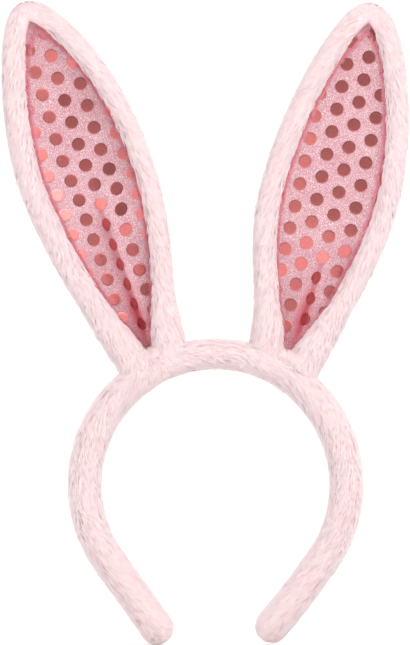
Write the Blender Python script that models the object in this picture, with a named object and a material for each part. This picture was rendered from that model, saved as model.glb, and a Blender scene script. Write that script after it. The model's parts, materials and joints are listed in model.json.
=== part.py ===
"""A plush rabbit-ears headband: a sprung plastic hoop, padded and sleeved in plush, with two wired ears.

Lengths are in millimetres and are turned to metres by MM. +Z is up and the front of the ears faces -Y.
The origin is on the inner face of the sleeve at the top of the crown, where the band rests on a head.
"left" is the side at -X, the left of someone who looks at the front.
"""

import math

import bmesh
import bpy
from mathutils import Matrix, Vector

MM = 0.001
FIT_GAP = 0.3

# The band, seen from the front: an arc over the head, and two straight ends that close in.
INNER_WIDTH = 119.0
ARC_END = 126.0
STRAIGHT_LENGTH = 41.0
CROWN_HINGE = 10.0
ARM_HINGE = 52.0
FLEX_GAP = 1.8
HOOP_GAP = 0.6
ARC_STEP = 7.0

# The band's layers, from the inside out.
HOOP_WIDTH = 10.0
HOOP_THICK = 1.8
PADDING_SIDE = 2.2
PADDING_FACE = 3.1
PADDING_END = 2.0
PLUSH_THICK = 4.0

# An ear, in its own frame: X across, Z from the band to the tip, Y towards the back.
EAR_ANGLE = 27.5
EAR_LEANS = {"left": 19.5, "right": 14.2}
EAR_LENGTH = 191.5
EAR_BASE_HALF = 15.0
EAR_FULL_HALF = 30.2
EAR_FULL_HEIGHT = 90.0
RIM_RADIUS = 6.0
WIRE_RADIUS = 0.6
FOLD_HEIGHT = 98.0
FOLD_GAP = 4.0
BASE_DISH = 5.0
TIP_DISH = 2.0
LINING_THICK = 1.0
WADDING_THICK = 2.0
BACK_THICK = 3.0

# The gathered end of an ear, sewn on the sleeve, its thread, and the tape that holds the wire's ends.
GATHER_RISE = 4.7
GATHER_HALF_DEPTH = 9.5
GATHER_SIDE = 3.0
THREAD_RADIUS = 0.4
TAPE_THICK = 0.3
TAPE_LENGTH = 14.0

# Worked out from the sizes above.
SIDES = {"left": -1, "right": 1}
PADDING_HALVES = (HOOP_WIDTH / 2 + FIT_GAP + PADDING_SIDE, HOOP_THICK / 2 + FIT_GAP + PADDING_FACE)
BORE_HALVES = tuple(half + FIT_GAP for half in PADDING_HALVES)
SLEEVE_HALVES = tuple(half + PLUSH_THICK for half in BORE_HALVES)
SLEEVE_RISE = SLEEVE_HALVES[1]
ARC_RADIUS = INNER_WIDTH / 2 + SLEEVE_RISE
WIRE_LIFT = HOOP_THICK / 2 + FIT_GAP + WIRE_RADIUS
WIRE_BEND = 3 * WIRE_RADIUS
HINGE_RISE = GATHER_RISE + FIT_GAP + RIM_RADIUS
BORE_RADIUS = WIRE_RADIUS + FIT_GAP
PAST_END = 3.0
BALL_ANGLES = (30.0, 55.0, 75.0)
RIM_STEPS = 8

COLOURS = {
    "plush": ((0.95, 0.76, 0.76), 0.95, 0.0),
    "foil_knit": ((0.86, 0.50, 0.56), 0.55, 0.0),
    "hoop_plastic": ((0.88, 0.88, 0.86), 0.45, 0.0),
    "foam": ((0.93, 0.91, 0.86), 0.9, 0.0),
    "steel_wire": ((0.62, 0.62, 0.63), 0.35, 1.0),
    "cloth_tape": ((0.86, 0.83, 0.78), 0.85, 0.0),
    "thread": ((0.93, 0.70, 0.71), 0.8, 0.0),
}


def gap_angle(gap):
    """The degrees of the band's arc that half a gap takes up."""
    return math.degrees(gap / 2 / ARC_RADIUS)


def arc_steps(start, end):
    """How many segments a stretch of the arc has."""
    return max(1, round(abs(end - start) / ARC_STEP))


CROWN_SPAN = CROWN_HINGE - gap_angle(FLEX_GAP)
CROWN_FACET = CROWN_SPAN / arc_steps(-CROWN_SPAN, CROWN_SPAN)
ARC_CENTRE = Vector((0, 0, -INNER_WIDTH / 2 * math.cos(math.radians(CROWN_FACET))))


def clear_scene():
    """Removes every object of the scene."""
    for obj in list(bpy.data.objects):
        bpy.data.objects.remove(obj, do_unlink=True)


def material(node, finish):
    """The node's own material, in the colour of its finish."""
    colour, roughness, metallic = COLOURS[finish]
    made = bpy.data.materials.new(f"{node}_{finish}")
    made.use_nodes = True
    shader = made.node_tree.nodes["Principled BSDF"]
    shader.inputs["Base Color"].default_value = (*colour, 1.0)
    shader.inputs["Roughness"].default_value = roughness
    shader.inputs["Metallic"].default_value = metallic
    return made


def empty(name, parent, world):
    """An empty that stands on a joint's axis, at a place given in millimetres."""
    made = bpy.data.objects.new(name, None)
    bpy.context.scene.collection.objects.link(made)
    made.parent = parent
    place = world.copy()
    place.translation = world.translation * MM
    made.matrix_world = place
    bpy.context.view_layer.update()
    return made


def seated(mesh, frame, parent):
    """Brings a mesh from a frame in millimetres to the frame of its parent, in metres."""
    mesh.transform(parent.matrix_world.inverted() @ Matrix.Scale(MM, 4) @ frame)
    return mesh


def part(node, mesh, finish, parent, frame):
    """A named part."""
    seated(mesh, frame, parent).name = node
    mesh.materials.clear()
    mesh.materials.append(material(node, finish))
    obj = bpy.data.objects.new(node, mesh)
    bpy.context.scene.collection.objects.link(obj)
    obj.parent = parent
    mesh.shade_smooth()
    mesh.set_sharp_from_angle(angle=math.radians(40))
    return obj


def cut(obj, mesh, frame):
    """Cuts a shape out of a part."""
    cutter = bpy.data.objects.new(f"{obj.name}_cutter", seated(mesh, frame, obj.parent))
    bpy.context.scene.collection.objects.link(cutter)
    cutter.parent = obj.parent
    cutter.hide_render = True
    cutter.display_type = "WIRE"
    modifier = obj.modifiers.new("cut", "BOOLEAN")
    modifier.object = cutter
    modifier.operation = "DIFFERENCE"
    modifier.solver = "EXACT"


def finished(bm):
    """The closed shape as a mesh, with its faces pointing out."""
    bmesh.ops.recalc_face_normals(bm, faces=bm.faces)
    mesh = bpy.data.meshes.new("shape")
    bm.to_mesh(mesh)
    bm.free()
    return mesh


# Sections and tubes


def oval(halves, sides, power):
    """A rounded section as (across, out) points, whose flat inner and outer edges are at the half-sizes."""
    turns = [2 * math.pi * (k + 0.5) / sides for k in range(sides)]
    shape = [(rounded(math.sin(turn), power), rounded(math.cos(turn), power)) for turn in turns]
    widest, highest = max(across for across, _ in shape), max(out for _, out in shape)
    return [(halves[0] * across / widest, -halves[1] * out / highest) for across, out in shape]


def rounded(value, power):
    """One coordinate of a superellipse, which is squarer than a circle."""
    return math.copysign(abs(value) ** (2 / power), value)


def band_oval(halves, sides=12):
    """The section of a layer of the band."""
    return oval(halves, sides, 2.6)


def strip_round_hoop(gap):
    """The hoop's flat section, grown by a gap."""
    across, out = HOOP_WIDTH / 2 + gap, HOOP_THICK / 2 + gap
    return [(-across, -out), (across, -out), (across, out), (-across, out)]


def wrap_round_wire(gap):
    """A section that goes round the hoop and a wire laid along it, at a gap from both."""
    top, half = WIRE_LIFT + WIRE_RADIUS + gap, WIRE_RADIUS + gap
    inner, outer = strip_round_hoop(gap)[:2], strip_round_hoop(gap)[2:]
    return [*inner, outer[0], (half, top), (-half, top), outer[1]]


def curve_mesh(points, radius, resolution, radii=None, ring=False):
    """A closed mesh tube along points, from a bevelled curve. radii scale it at each point."""
    curve = bpy.data.curves.new("tube", "CURVE")
    curve.dimensions = "3D"
    curve.bevel_depth = radius
    curve.bevel_resolution = resolution
    curve.use_fill_caps = True
    spline = curve.splines.new("POLY")
    spline.points.add(len(points) - 1)
    spline.use_cyclic_u = ring
    for k, point in enumerate(points):
        spline.points[k].co = (*point, 1)
        spline.points[k].radius = radii[k] if radii else 1.0
    holder = bpy.data.objects.new("tube", curve)
    mesh = bpy.data.meshes.new_from_object(holder)
    bpy.data.objects.remove(holder)
    bm = bmesh.new()
    bm.from_mesh(mesh)
    bmesh.ops.remove_doubles(bm, verts=bm.verts, dist=0.001)
    return finished(bm)


def half_ball(end, towards):
    """Points and radius shares from the pole of half a ball to the tube end that it closes."""
    out = (end - towards).normalized() * RIM_RADIUS
    angles = [math.radians(angle) for angle in reversed(BALL_ANGLES)]
    return [(end + out * math.sin(angle), math.cos(angle)) for angle in angles]


def with_length(points, length):
    """A line whose first end is moved on by a length, or back if the length is negative."""
    points = list(points)
    while (points[1] - points[0]).length <= length:
        length -= (points[1] - points[0]).length
        points.pop(0)
    return [points[0] + (points[1] - points[0]).normalized() * length, *points[1:]]


def with_lengths(points, first, last):
    """A line whose two ends are moved in by lengths, or out if they are negative."""
    return with_length(with_length(points, first)[::-1], last)[::-1]


# The band


def on_arc(angle, across, out):
    """A point of the band at an angle in degrees from the crown, positive towards +X."""
    turn = math.radians(angle)
    reach = ARC_RADIUS + out
    return ARC_CENTRE + Vector((reach * math.sin(turn), across, reach * math.cos(turn)))


def spun(section, start, end):
    """A bmesh of a section spun along the band's arc, and its last face."""
    bm = bmesh.new()
    face = bm.faces.new([bm.verts.new(on_arc(start, *point)) for point in section])
    swept = bmesh.ops.spin(
        bm,
        geom=[face],
        cent=ARC_CENTRE,
        axis=(0, 1, 0),
        angle=math.radians(end - start),
        steps=arc_steps(start, end),
    )
    last = [item for item in swept["geom_last"] if isinstance(item, bmesh.types.BMFace)]
    return bm, last[0]


def arc_mesh(section, start, end):
    """A closed stretch of the arc."""
    return finished(spun(section, start, end)[0])


def extruded(bm, face, move, scale=1.0):
    """Extrudes a face by a vector and scales its end about its own centre. Returns the end."""
    inside = any(len(edge.link_faces) > 1 for edge in face.edges)
    made = bmesh.ops.extrude_face_region(bm, geom=[face])["geom"]
    end = [item for item in made if isinstance(item, bmesh.types.BMFace)][0]
    if inside:
        bmesh.ops.delete(bm, geom=[face], context="FACES_ONLY")
    bmesh.ops.translate(bm, vec=move, verts=end.verts)
    centre = Matrix.Translation(-end.calc_center_median())
    bmesh.ops.scale(bm, vec=(scale, scale, scale), space=centre, verts=end.verts)
    return end


def arm_mesh(section, start, side, straight, ball=0.0):
    """A section that follows the arc from an angle, runs on straight and, given a ball, ends round."""
    bm, face = spun(section, side * start, side * ARC_END)
    turn = math.radians(ARC_END)
    along = Vector((side * math.cos(turn), 0, -math.sin(turn)))
    face = extruded(bm, face, along * straight)
    reached, size = 0.0, 1.0
    for angle in BALL_ANGLES if ball else ():
        reach, share = ball * math.sin(math.radians(angle)), math.cos(math.radians(angle))
        face = extruded(bm, face, along * (reach - reached), share / size)
        reached, size = reach, share
    return finished(bm)


def band_stretch(name, start, end, parent):
    """Hoop, padding and sleeve of one stretch of the arc, with the gaps that let it flex."""
    world = Matrix.Identity(4)
    turn = math.copysign(1, end - start)
    near, hoop_near = turn * gap_angle(FLEX_GAP), turn * gap_angle(HOOP_GAP)
    span, past = (start + near, end - near), (start - turn * PAST_END, end + turn * PAST_END)
    hoop = arc_mesh(strip_round_hoop(0), start + hoop_near, end - hoop_near)
    part(f"{name}_hoop", hoop, "hoop_plastic", parent, world)
    padding = part(
        f"{name}_padding", arc_mesh(band_oval(PADDING_HALVES), *span), "foam", parent, world
    )
    cut(padding, arc_mesh(strip_round_hoop(FIT_GAP), *past), world)
    sleeve_mesh = arc_mesh(band_oval(SLEEVE_HALVES, 16), *span)
    sleeve = part(f"{name}_sleeve", sleeve_mesh, "plush", parent, world)
    cut(sleeve, arc_mesh(band_oval(BORE_HALVES), *past), world)
    return padding, sleeve


def arm(name, side, parent):
    """Hoop, padding and sleeve of an arm. The sleeve is closed at its round end."""
    world = Matrix.Identity(4)
    start, past = ARM_HINGE + gap_angle(FLEX_GAP), ARM_HINGE - PAST_END
    bore_end = STRAIGHT_LENGTH + SLEEVE_RISE - PLUSH_THICK
    padding_end = bore_end - FIT_GAP
    hoop_bore_end = padding_end - PADDING_END
    hoop_start = ARM_HINGE + gap_angle(HOOP_GAP)
    hoop = arm_mesh(strip_round_hoop(0), hoop_start, side, hoop_bore_end - FIT_GAP)
    part(f"{name}_hoop", hoop, "hoop_plastic", parent, world)
    padding_mesh = arm_mesh(band_oval(PADDING_HALVES), start, side, padding_end)
    padding = part(f"{name}_padding", padding_mesh, "foam", parent, world)
    cut(padding, arm_mesh(strip_round_hoop(FIT_GAP), past, side, hoop_bore_end), world)
    sleeve_mesh = arm_mesh(band_oval(SLEEVE_HALVES, 16), start, side, STRAIGHT_LENGTH, SLEEVE_RISE)
    sleeve = part(f"{name}_sleeve", sleeve_mesh, "plush", parent, world)
    cut(sleeve, arm_mesh(band_oval(BORE_HALVES), past, side, bore_end), world)


# An ear's outline


def bezier(a, b, c, d, share):
    """A point on a cubic curve."""
    rest = 1 - share
    return rest**3 * a + 3 * rest**2 * share * b + 3 * rest * share**2 * c + share**3 * d


def rim_line():
    """Points along the middle of the rim's right side, as (across, height), from hinge to tip."""
    base = Vector((EAR_BASE_HALF, HINGE_RISE))
    full = Vector((EAR_FULL_HALF, EAR_FULL_HEIGHT))
    tip = Vector((0, EAR_LENGTH - RIM_RADIUS))
    lower_pull, upper_pull = (full.y - base.y) / 3, (tip.y - full.y) * 0.4
    leaving = base + lower_pull * Vector((0.33, 1))
    below, above = full - Vector((0, 1.2 * lower_pull)), full + Vector((0, upper_pull))
    arriving = tip + Vector((0.43 * full.x, 0))
    shares = [k / RIM_STEPS for k in range(RIM_STEPS + 1)]
    lower = [bezier(base, leaving, below, full, share) for share in shares]
    upper = [bezier(full, above, arriving, tip, share) for share in shares]
    return lower + upper[1:]


def at_height(line, height):
    """The point of a rising line at a height."""
    for first, second in zip(line, line[1:], strict=False):
        if height <= second.y:
            return first.lerp(second, (height - first.y) / (second.y - first.y))
    return line[-1]


def between(line, low, high):
    """The part of a rising line between two heights. Points next to a cut end are left out."""
    inside = [point for point in line if low + WIRE_RADIUS < point.y < high - WIRE_RADIUS]
    return [at_height(line, low), *inside, at_height(line, high)]


def edge_inside_rim():
    """The outline of what lies inside the rim, on the right side."""
    line = rim_line()
    moved = []
    for before, point, after in zip(line, line[1:], line[2:], strict=False):
        along = (after - before).normalized()
        moved.append(point + (RIM_RADIUS + FIT_GAP) * Vector((-along.y, along.x)))
    return [point for point in moved if point.x > 0]


INNER_EDGE = edge_inside_rim()


def dish(share, height):
    """How far back a layer lies, at a share of its half-width and a height."""
    up = height / EAR_LENGTH
    return (BASE_DISH + (TIP_DISH - BASE_DISH) * up) * (1 - share**2)


# An ear's parts


def sheet(low, high, front, thick, segments=6):
    """A dished sheet that fills the space inside the rim between two heights."""
    bm = bmesh.new()
    bmesh.ops.create_grid(bm, x_segments=segments, y_segments=segments, size=1.0)
    for vert in bm.verts:
        share, height = vert.co.x, low + (high - low) * (vert.co.y + 1) / 2
        half = max(at_height(INNER_EDGE, height).x, 1.0)
        vert.co = Vector((share * half, front + dish(share, height), height))
    made = bmesh.ops.extrude_face_region(bm, geom=bm.faces[:], use_keep_orig=True)["geom"]
    raised = [item for item in made if isinstance(item, bmesh.types.BMVert)]
    bmesh.ops.translate(bm, vec=(0, thick, 0), verts=raised)
    return finished(bm)


def sheets(name, low, high, parent, frame):
    """Lining, wadding and back of one half of the ear."""
    front = 0.0
    layers = (
        ("lining", "foil_knit", LINING_THICK),
        ("wadding", "foam", WADDING_THICK),
        ("back", "plush", BACK_THICK),
    )
    for layer, finish, thick in layers:
        part(f"{name}_{layer}", sheet(low, high, front, thick), finish, parent, frame)
        front += thick + FIT_GAP


def in_ear(line, side):
    """The points of a line as places in the ear's frame, on one side of it."""
    return [Vector((side * point.x, 0, point.y)) for point in line]


def rim_and_wire(name, marks, bore, parent, frame):
    """A plush rim through (point, radius share) marks, rolled round the wire in its bore."""
    points, radii = zip(*marks, strict=True)
    rim_mesh = curve_mesh(points, RIM_RADIUS, 2, radii)
    rim = part(f"{name}_rim", rim_mesh, "plush", parent, frame)
    cut(rim, curve_mesh(with_lengths(bore, -PAST_END, -PAST_END), BORE_RADIUS, 1), frame)
    wire = curve_mesh(with_lengths(bore, FIT_GAP, FIT_GAP), WIRE_RADIUS, 1)
    part(f"{name}_wire", wire, "steel_wire", parent, frame)


def lower_ear(name, parent, frame, side):
    """The half of the ear from the base hinge to the fold."""
    line = between(rim_line(), HINGE_RISE, FOLD_HEIGHT)
    for edge, sign in (("outer", side), ("inner", -side)):
        whole = in_ear(line, sign)
        run = with_lengths(whole, 0, RIM_RADIUS + FIT_GAP)
        marks = half_ball(run[0], run[1]) + [(point, 1.0) for point in run]
        bore = with_lengths(run, -RIM_RADIUS, 0)
        rim_and_wire(f"{name}_{edge}", marks, bore, parent, frame)
    sheets(name, HINGE_RISE + FOLD_GAP / 2, FOLD_HEIGHT - FOLD_GAP / 2, parent, frame)


def upper_ear(name, parent, frame):
    """The half of the ear from the fold to the tip."""
    line = between(rim_line(), FOLD_HEIGHT, EAR_LENGTH)
    arch = in_ear(line, -1) + in_ear(line, 1)[-2::-1]
    ends = half_ball(arch[0], arch[1]), half_ball(arch[-1], arch[-2])[::-1]
    marks = ends[0] + [(point, 1.0) for point in arch] + ends[1]
    rim_and_wire(name, marks, with_lengths(arch, -RIM_RADIUS, -RIM_RADIUS), parent, frame)
    top = INNER_EDGE[-1].y - FIT_GAP
    sheets(name, FOLD_HEIGHT + FOLD_GAP / 2, top, parent, frame)


# Where an ear meets the band


def ear_frame(name):
    """The ear's frame: on the sleeve's outer face, leaning out."""
    side = SIDES[name]
    lean = Matrix.Rotation(math.radians(side * EAR_LEANS[name]), 4, "Y")
    return Matrix.Translation(on_arc(side * EAR_ANGLE, 0, SLEEVE_RISE)) @ lean


def gather(name, parent, frame):
    """The ear's gathered end, seated on the sleeve, and the thread round it."""
    side = SIDES[name]
    halves = (GATHER_HALF_DEPTH, EAR_BASE_HALF + GATHER_SIDE)
    bm = bmesh.new()
    outline = [bm.verts.new((out, across, -SLEEVE_RISE)) for across, out in oval(halves, 16, 2.4)]
    extruded(bm, bm.faces.new(outline), (0, 0, SLEEVE_RISE + GATHER_RISE))
    made = part(f"{name}_ear_gather", finished(bm), "plush", parent, frame)
    clear = band_oval([half + FIT_GAP for half in SLEEVE_HALVES], 16)
    seat = arc_mesh(clear, side * (CROWN_HINGE - PAST_END), side * (ARM_HINGE + PAST_END))
    cut(made, seat, Matrix.Identity(4))
    away = [half + FIT_GAP + THREAD_RADIUS for half in halves]
    height = GATHER_RISE - 2 * THREAD_RADIUS
    ring = [(out, across, height) for across, out in oval(away, 16, 2.4)]
    thread = curve_mesh(ring, THREAD_RADIUS, 1, ring=True)
    part(f"{name}_gather_thread", thread, "thread", parent, frame)
    return made


def angle_on_arc(point):
    """The angle of a point from the crown, in degrees."""
    from_centre = point - ARC_CENTRE
    return math.degrees(math.atan2(from_centre.x, from_centre.z))


def foot_of_wire(frame, across):
    """A wire's way down from a place across the ear: where it leaves the gather and nears the hoop."""
    top, down = frame @ Vector((across, 0, GATHER_RISE)), -frame.col[2].xyz
    from_centre = top - ARC_CENTRE
    reach = ARC_RADIUS + WIRE_LIFT + WIRE_BEND
    half = from_centre.dot(down)
    drop = -half - math.sqrt(half**2 - from_centre.length_squared + reach**2)
    return top, top + down * drop


def wire_tail(name, edge, across, parent, frame, holders):
    """One end of the ear's wire: down through gather, sleeve and padding, then along the hoop."""
    top, foot = foot_of_wire(frame, across)
    middle = SIDES[name] * EAR_ANGLE
    turn = angle_on_arc(foot) - middle
    along = [on_arc(middle + turn * share, 0, WIRE_LIFT) for share in (0.85, 0.65, 0.45, 0.25)]
    path = [top, foot, *along]
    tail = curve_mesh(path, WIRE_RADIUS, 1)
    part(f"{name}_ear_{edge}_wire_tail", tail, "steel_wire", parent, Matrix.Identity(4))
    hole = with_length(path, -PAST_END)
    for holder in holders:
        cut(holder, curve_mesh(hole, BORE_RADIUS, 1), Matrix.Identity(4))
    return turn


def anchor_tape(name, parent):
    """The cloth tape that binds the wire's ends to the hoop."""
    middle, reach = SIDES[name] * EAR_ANGLE, math.degrees(TAPE_LENGTH / 2 / ARC_RADIUS)
    world = Matrix.Identity(4)
    body = arc_mesh(wrap_round_wire(FIT_GAP + TAPE_THICK), middle - reach, middle + reach)
    tape = part(f"{name}_anchor_tape", body, "cloth_tape", parent, world)
    past = reach + PAST_END
    cut(tape, arc_mesh(wrap_round_wire(FIT_GAP), middle - past, middle + past), world)


def fasten_ear(name, padding, sleeve, parent, frame):
    """The gather on the sleeve, and the wire's ends taped to the hoop inside it."""
    side = SIDES[name]
    holders = (gather(name, parent, frame), sleeve, padding)
    anchor_tape(name, parent)
    turns = [
        wire_tail(name, edge, sign * EAR_BASE_HALF, parent, frame, holders)
        for edge, sign in (("outer", side), ("inner", -side))
    ]
    middle, past = side * EAR_ANGLE, gap_angle(4 * BORE_RADIUS)
    low, high = middle + min(turns) - past, middle + max(turns) + past
    clearance = wrap_round_wire(2 * FIT_GAP + TAPE_THICK)
    cut(padding, arc_mesh(clearance, low, high), Matrix.Identity(4))


def build():
    """The whole headband, body by body."""
    clear_scene()
    crown = empty("crown_frame", None, Matrix.Identity(4))
    band_stretch("crown", -CROWN_HINGE, CROWN_HINGE, crown)
    for name, side in SIDES.items():
        frame = ear_frame(name)
        shoulder_place = Matrix.Translation(on_arc(side * CROWN_HINGE, 0, 0))
        shoulder = empty(f"{name}_shoulder_hinge", crown, shoulder_place)
        span = (side * CROWN_HINGE, side * ARM_HINGE)
        padding, sleeve = band_stretch(f"{name}_shoulder", *span, shoulder)
        fasten_ear(name, padding, sleeve, shoulder, frame)
        arm_place = Matrix.Translation(on_arc(side * ARM_HINGE, 0, 0))
        arm(f"{name}_arm", side, empty(f"{name}_arm_hinge", shoulder, arm_place))
        tilt_place = frame @ Matrix.Translation((0, 0, HINGE_RISE))
        ear = empty(f"{name}_ear_tilt_hinge", shoulder, tilt_place)
        lower_ear(f"{name}_ear", ear, frame, side)
        fold_place = frame @ Matrix.Translation((0, 0, FOLD_HEIGHT))
        upper_ear(f"{name}_ear_top", empty(f"{name}_ear_fold_hinge", ear, fold_place), frame)


build()
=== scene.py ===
# %% [markdown]
# # A plush rabbit-ears headband
#
# The real thing is a sprung plastic hoop in foam, sewn into a tube of pale pink plush, with two wired ears.
# Each ear has a rolled plush rim, a plush back, and a lining of glittery knit printed with foil dots.
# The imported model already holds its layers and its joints. This lesson builds the looks around it.
#
# The order is: measure the frame, set up the view, sew the band, sew the ears, print the dots, and grow the
# pile last, because the pile stands on every plush skin made before it.

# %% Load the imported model
import json
import math

import bpy
import numpy as np
from mathutils import Matrix, Vector, noise
from mathutils.bvhtree import BVHTree


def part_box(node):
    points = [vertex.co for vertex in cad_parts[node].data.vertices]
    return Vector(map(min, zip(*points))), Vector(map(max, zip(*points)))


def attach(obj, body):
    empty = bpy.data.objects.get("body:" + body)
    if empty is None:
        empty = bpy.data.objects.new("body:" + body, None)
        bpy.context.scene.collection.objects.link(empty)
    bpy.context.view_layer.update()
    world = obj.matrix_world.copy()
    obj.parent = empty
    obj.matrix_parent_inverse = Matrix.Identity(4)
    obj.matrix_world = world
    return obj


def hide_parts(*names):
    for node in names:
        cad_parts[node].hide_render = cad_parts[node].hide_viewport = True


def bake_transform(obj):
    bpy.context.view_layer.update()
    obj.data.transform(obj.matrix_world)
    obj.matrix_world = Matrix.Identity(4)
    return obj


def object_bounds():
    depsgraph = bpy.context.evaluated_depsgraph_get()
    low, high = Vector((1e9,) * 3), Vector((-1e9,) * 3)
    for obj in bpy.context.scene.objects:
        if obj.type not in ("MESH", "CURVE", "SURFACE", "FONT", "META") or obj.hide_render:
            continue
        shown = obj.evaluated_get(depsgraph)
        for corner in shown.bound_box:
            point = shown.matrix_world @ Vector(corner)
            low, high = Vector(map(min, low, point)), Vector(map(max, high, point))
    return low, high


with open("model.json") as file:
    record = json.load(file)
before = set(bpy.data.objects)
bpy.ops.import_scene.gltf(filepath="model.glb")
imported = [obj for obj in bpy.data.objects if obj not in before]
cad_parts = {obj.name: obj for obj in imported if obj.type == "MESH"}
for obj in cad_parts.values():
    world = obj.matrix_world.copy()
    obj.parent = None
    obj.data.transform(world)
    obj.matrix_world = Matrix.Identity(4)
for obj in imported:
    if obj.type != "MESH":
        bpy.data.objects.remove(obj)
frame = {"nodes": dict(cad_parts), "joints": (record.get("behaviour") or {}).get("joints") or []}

MM = 0.001
cad_box = [list(corner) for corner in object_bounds()]
bpy.context.scene.view_settings.view_transform = "Standard"

# %% [markdown]
# ## Measures taken from the frame
#
# The band is an arc over the head and two straight ends that close in. Both flex hinges of one side lie
# on its centreline, so the circle through them, centred on the middle plane, is the arc. An ear stands on
# the arc. Its tilt hinge gives its foot, and the line from the tilt hinge to the fold hinge gives the way
# up. Taking all this from the joints keeps the looks on the model if its sizes change.

# %% The arc and the two ears
SIDES = {"left": -1, "right": 1}
# Angles on the arc are counted from the crown. HINGE_RISE is the height of the tilt hinge above the ear's
# foot.
ARC_END = math.radians(126)
SPLIT_ANGLE = math.radians(31)
HINGE_RISE = 11.0

hinge = {joint["name"]: Vector(joint["pos_m"]) / MM for joint in frame["joints"]}
shoulder = hinge["right_shoulder_flex"]
elbow = hinge["right_arm_flex"]
ARC_Z = (elbow.x**2 + elbow.z**2 - shoulder.x**2 - shoulder.z**2) / (2 * (elbow.z - shoulder.z))
ARC_RADIUS = math.hypot(shoulder.x, shoulder.z - ARC_Z)
ARC_CENTRE = Vector((0, 0, ARC_Z))


def ear_frame(side):
    """The matrix of an ear's own frame, in millimetres: X towards the right, Y to the back, Z up the ear."""
    foot = hinge[side + "_ear_tilt"]
    up = (hinge[side + "_ear_fold"] - foot).normalized()
    across = Vector((up.z, 0, -up.x))
    turn = Matrix((across, Vector((0, 1, 0)), up)).transposed()
    return Matrix.Translation(foot - HINGE_RISE * up) @ turn.to_4x4()


EAR = {side: ear_frame(side) for side in SIDES}
print(f"arc: centre height {ARC_Z:.1f} mm, radius {ARC_RADIUS:.1f} mm")
for side in SIDES:
    lean = math.degrees(math.atan2(EAR[side][0][2], EAR[side][2][2]))
    print(f"{side} ear leans {lean:.1f} degrees")

# %% [markdown]
# ## The view and the light
#
# The headband is looked at from straight in front, from far enough away that it hardly shows perspective,
# so the camera is 1.5 m off with a long lens. The lens follows from how much height has to fit in the
# frame.
#
# The light is that of a plain white studio: a bright surround from all sides, a large soft lamp above and
# to the right, a weaker one at the left, another behind, and a duller patch of the surround behind the
# camera. That patch matters for the foil dots: a mirror that faces the camera shows what is behind the
# camera, so the flat dots turn dark and the tilted ones stay bright. The camera itself sees plain white
# there.

# %% Camera
VIEW_DISTANCE = 1500.0
VIEW_HEIGHT = 335.4
VIEW_X = -5.5
VIEW_Z = 25.0

camera_data = bpy.data.cameras.new("front_view")
camera_data.sensor_fit = "VERTICAL"
camera_data.sensor_height = 36.0
camera_data.lens = camera_data.sensor_height * VIEW_DISTANCE / VIEW_HEIGHT
camera_data.clip_end = 20.0
camera = bpy.data.objects.new("front_view", camera_data)
camera.location = Vector((VIEW_X, -VIEW_DISTANCE, VIEW_Z)) * MM
camera.rotation_euler = (math.radians(90), 0, 0)
bpy.context.scene.collection.objects.link(camera)
bpy.context.scene.camera = camera
print(f"lens {camera_data.lens:.0f} mm")


# %% Colours and one helper for nodes
def srgb(code):
    """A colour written as six hex digits, turned to the linear values that shaders take."""
    parts = [int(code[at : at + 2], 16) / 255 for at in (0, 2, 4)]
    linear = [part / 12.92 if part <= 0.04045 else ((part + 0.055) / 1.055) ** 2.4 for part in parts]
    return (*linear, 1.0)


def add_node(tree, kind, inputs=None, stops=(), **settings):
    """Adds one node with its settings. Each input is a value, or an output socket to link from.

    A colour ramp also takes its stops, as (position, hex colour).
    """
    made = tree.nodes.new(kind)
    for key, value in settings.items():
        setattr(made, key, value)
    for socket, value in (inputs or {}).items():
        if isinstance(value, bpy.types.NodeSocket):
            tree.links.new(value, made.inputs[socket])
        else:
            made.inputs[socket].default_value = value
    for _ in range(len(stops) - 2):
        made.color_ramp.elements.new(0.5)
    for number, (position, colour) in enumerate(stops):
        made.color_ramp.elements[number].position = position
        made.color_ramp.elements[number].color = srgb(colour)
    return made


# %% The white surround, with a duller patch behind the camera
# Strengths, and the cosines of the angles from the camera where the patch is full and where it has faded
# out.
SURROUND = 1.15
PATCH_DARK = 0.15
PATCH_CORE = math.cos(math.radians(20))
PATCH_EDGE = math.cos(math.radians(58))

world = bpy.data.worlds.new("white_studio")
world.use_nodes = True
bpy.context.scene.world = world
tree = world.node_tree
tree.nodes.clear()
direction = add_node(tree, "ShaderNodeTexCoord")
towards_camera = add_node(
    tree,
    "ShaderNodeVectorMath",
    {0: direction.outputs["Generated"], 1: (0.0, -1.0, 0.0)},
    operation="DOT_PRODUCT",
)
patch = add_node(
    tree,
    "ShaderNodeMapRange",
    {"Value": towards_camera.outputs["Value"], "From Min": PATCH_EDGE, "From Max": PATCH_CORE},
    interpolation_type="SMOOTHSTEP",
)
seen = add_node(tree, "ShaderNodeLightPath").outputs["Is Camera Ray"]
unseen = add_node(tree, "ShaderNodeMath", {0: 1.0, 1: seen}, operation="SUBTRACT")
hidden_patch = add_node(
    tree,
    "ShaderNodeMath",
    {0: patch.outputs["Result"], 1: unseen.outputs["Value"]},
    operation="MULTIPLY",
)
shade = add_node(
    tree,
    "ShaderNodeMapRange",
    {"Value": hidden_patch.outputs["Value"], "To Min": SURROUND, "To Max": PATCH_DARK},
)
background = add_node(
    tree,
    "ShaderNodeBackground",
    {"Color": (1.0, 1.0, 1.0, 1.0), "Strength": shade.outputs["Result"]},
)
add_node(tree, "ShaderNodeOutputWorld", {"Surface": background.outputs["Background"]})
print(f"surround {SURROUND}, down to {PATCH_DARK} behind the camera")


# %% Soft lamps
def lamp(name, place, size, watts):
    """A square soft lamp that faces the middle of the object."""
    data = bpy.data.lights.new(name, "AREA")
    data.size = size
    data.energy = watts
    made = bpy.data.objects.new(name, data)
    made.location = Vector(place)
    aim = Vector((0, 0, VIEW_Z * MM)) - made.location
    made.rotation_euler = aim.to_track_quat("-Z", "Y").to_euler()
    bpy.context.scene.collection.objects.link(made)
    print(f"{name}: {watts} W from {made.location.length:.1f} m")


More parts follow.
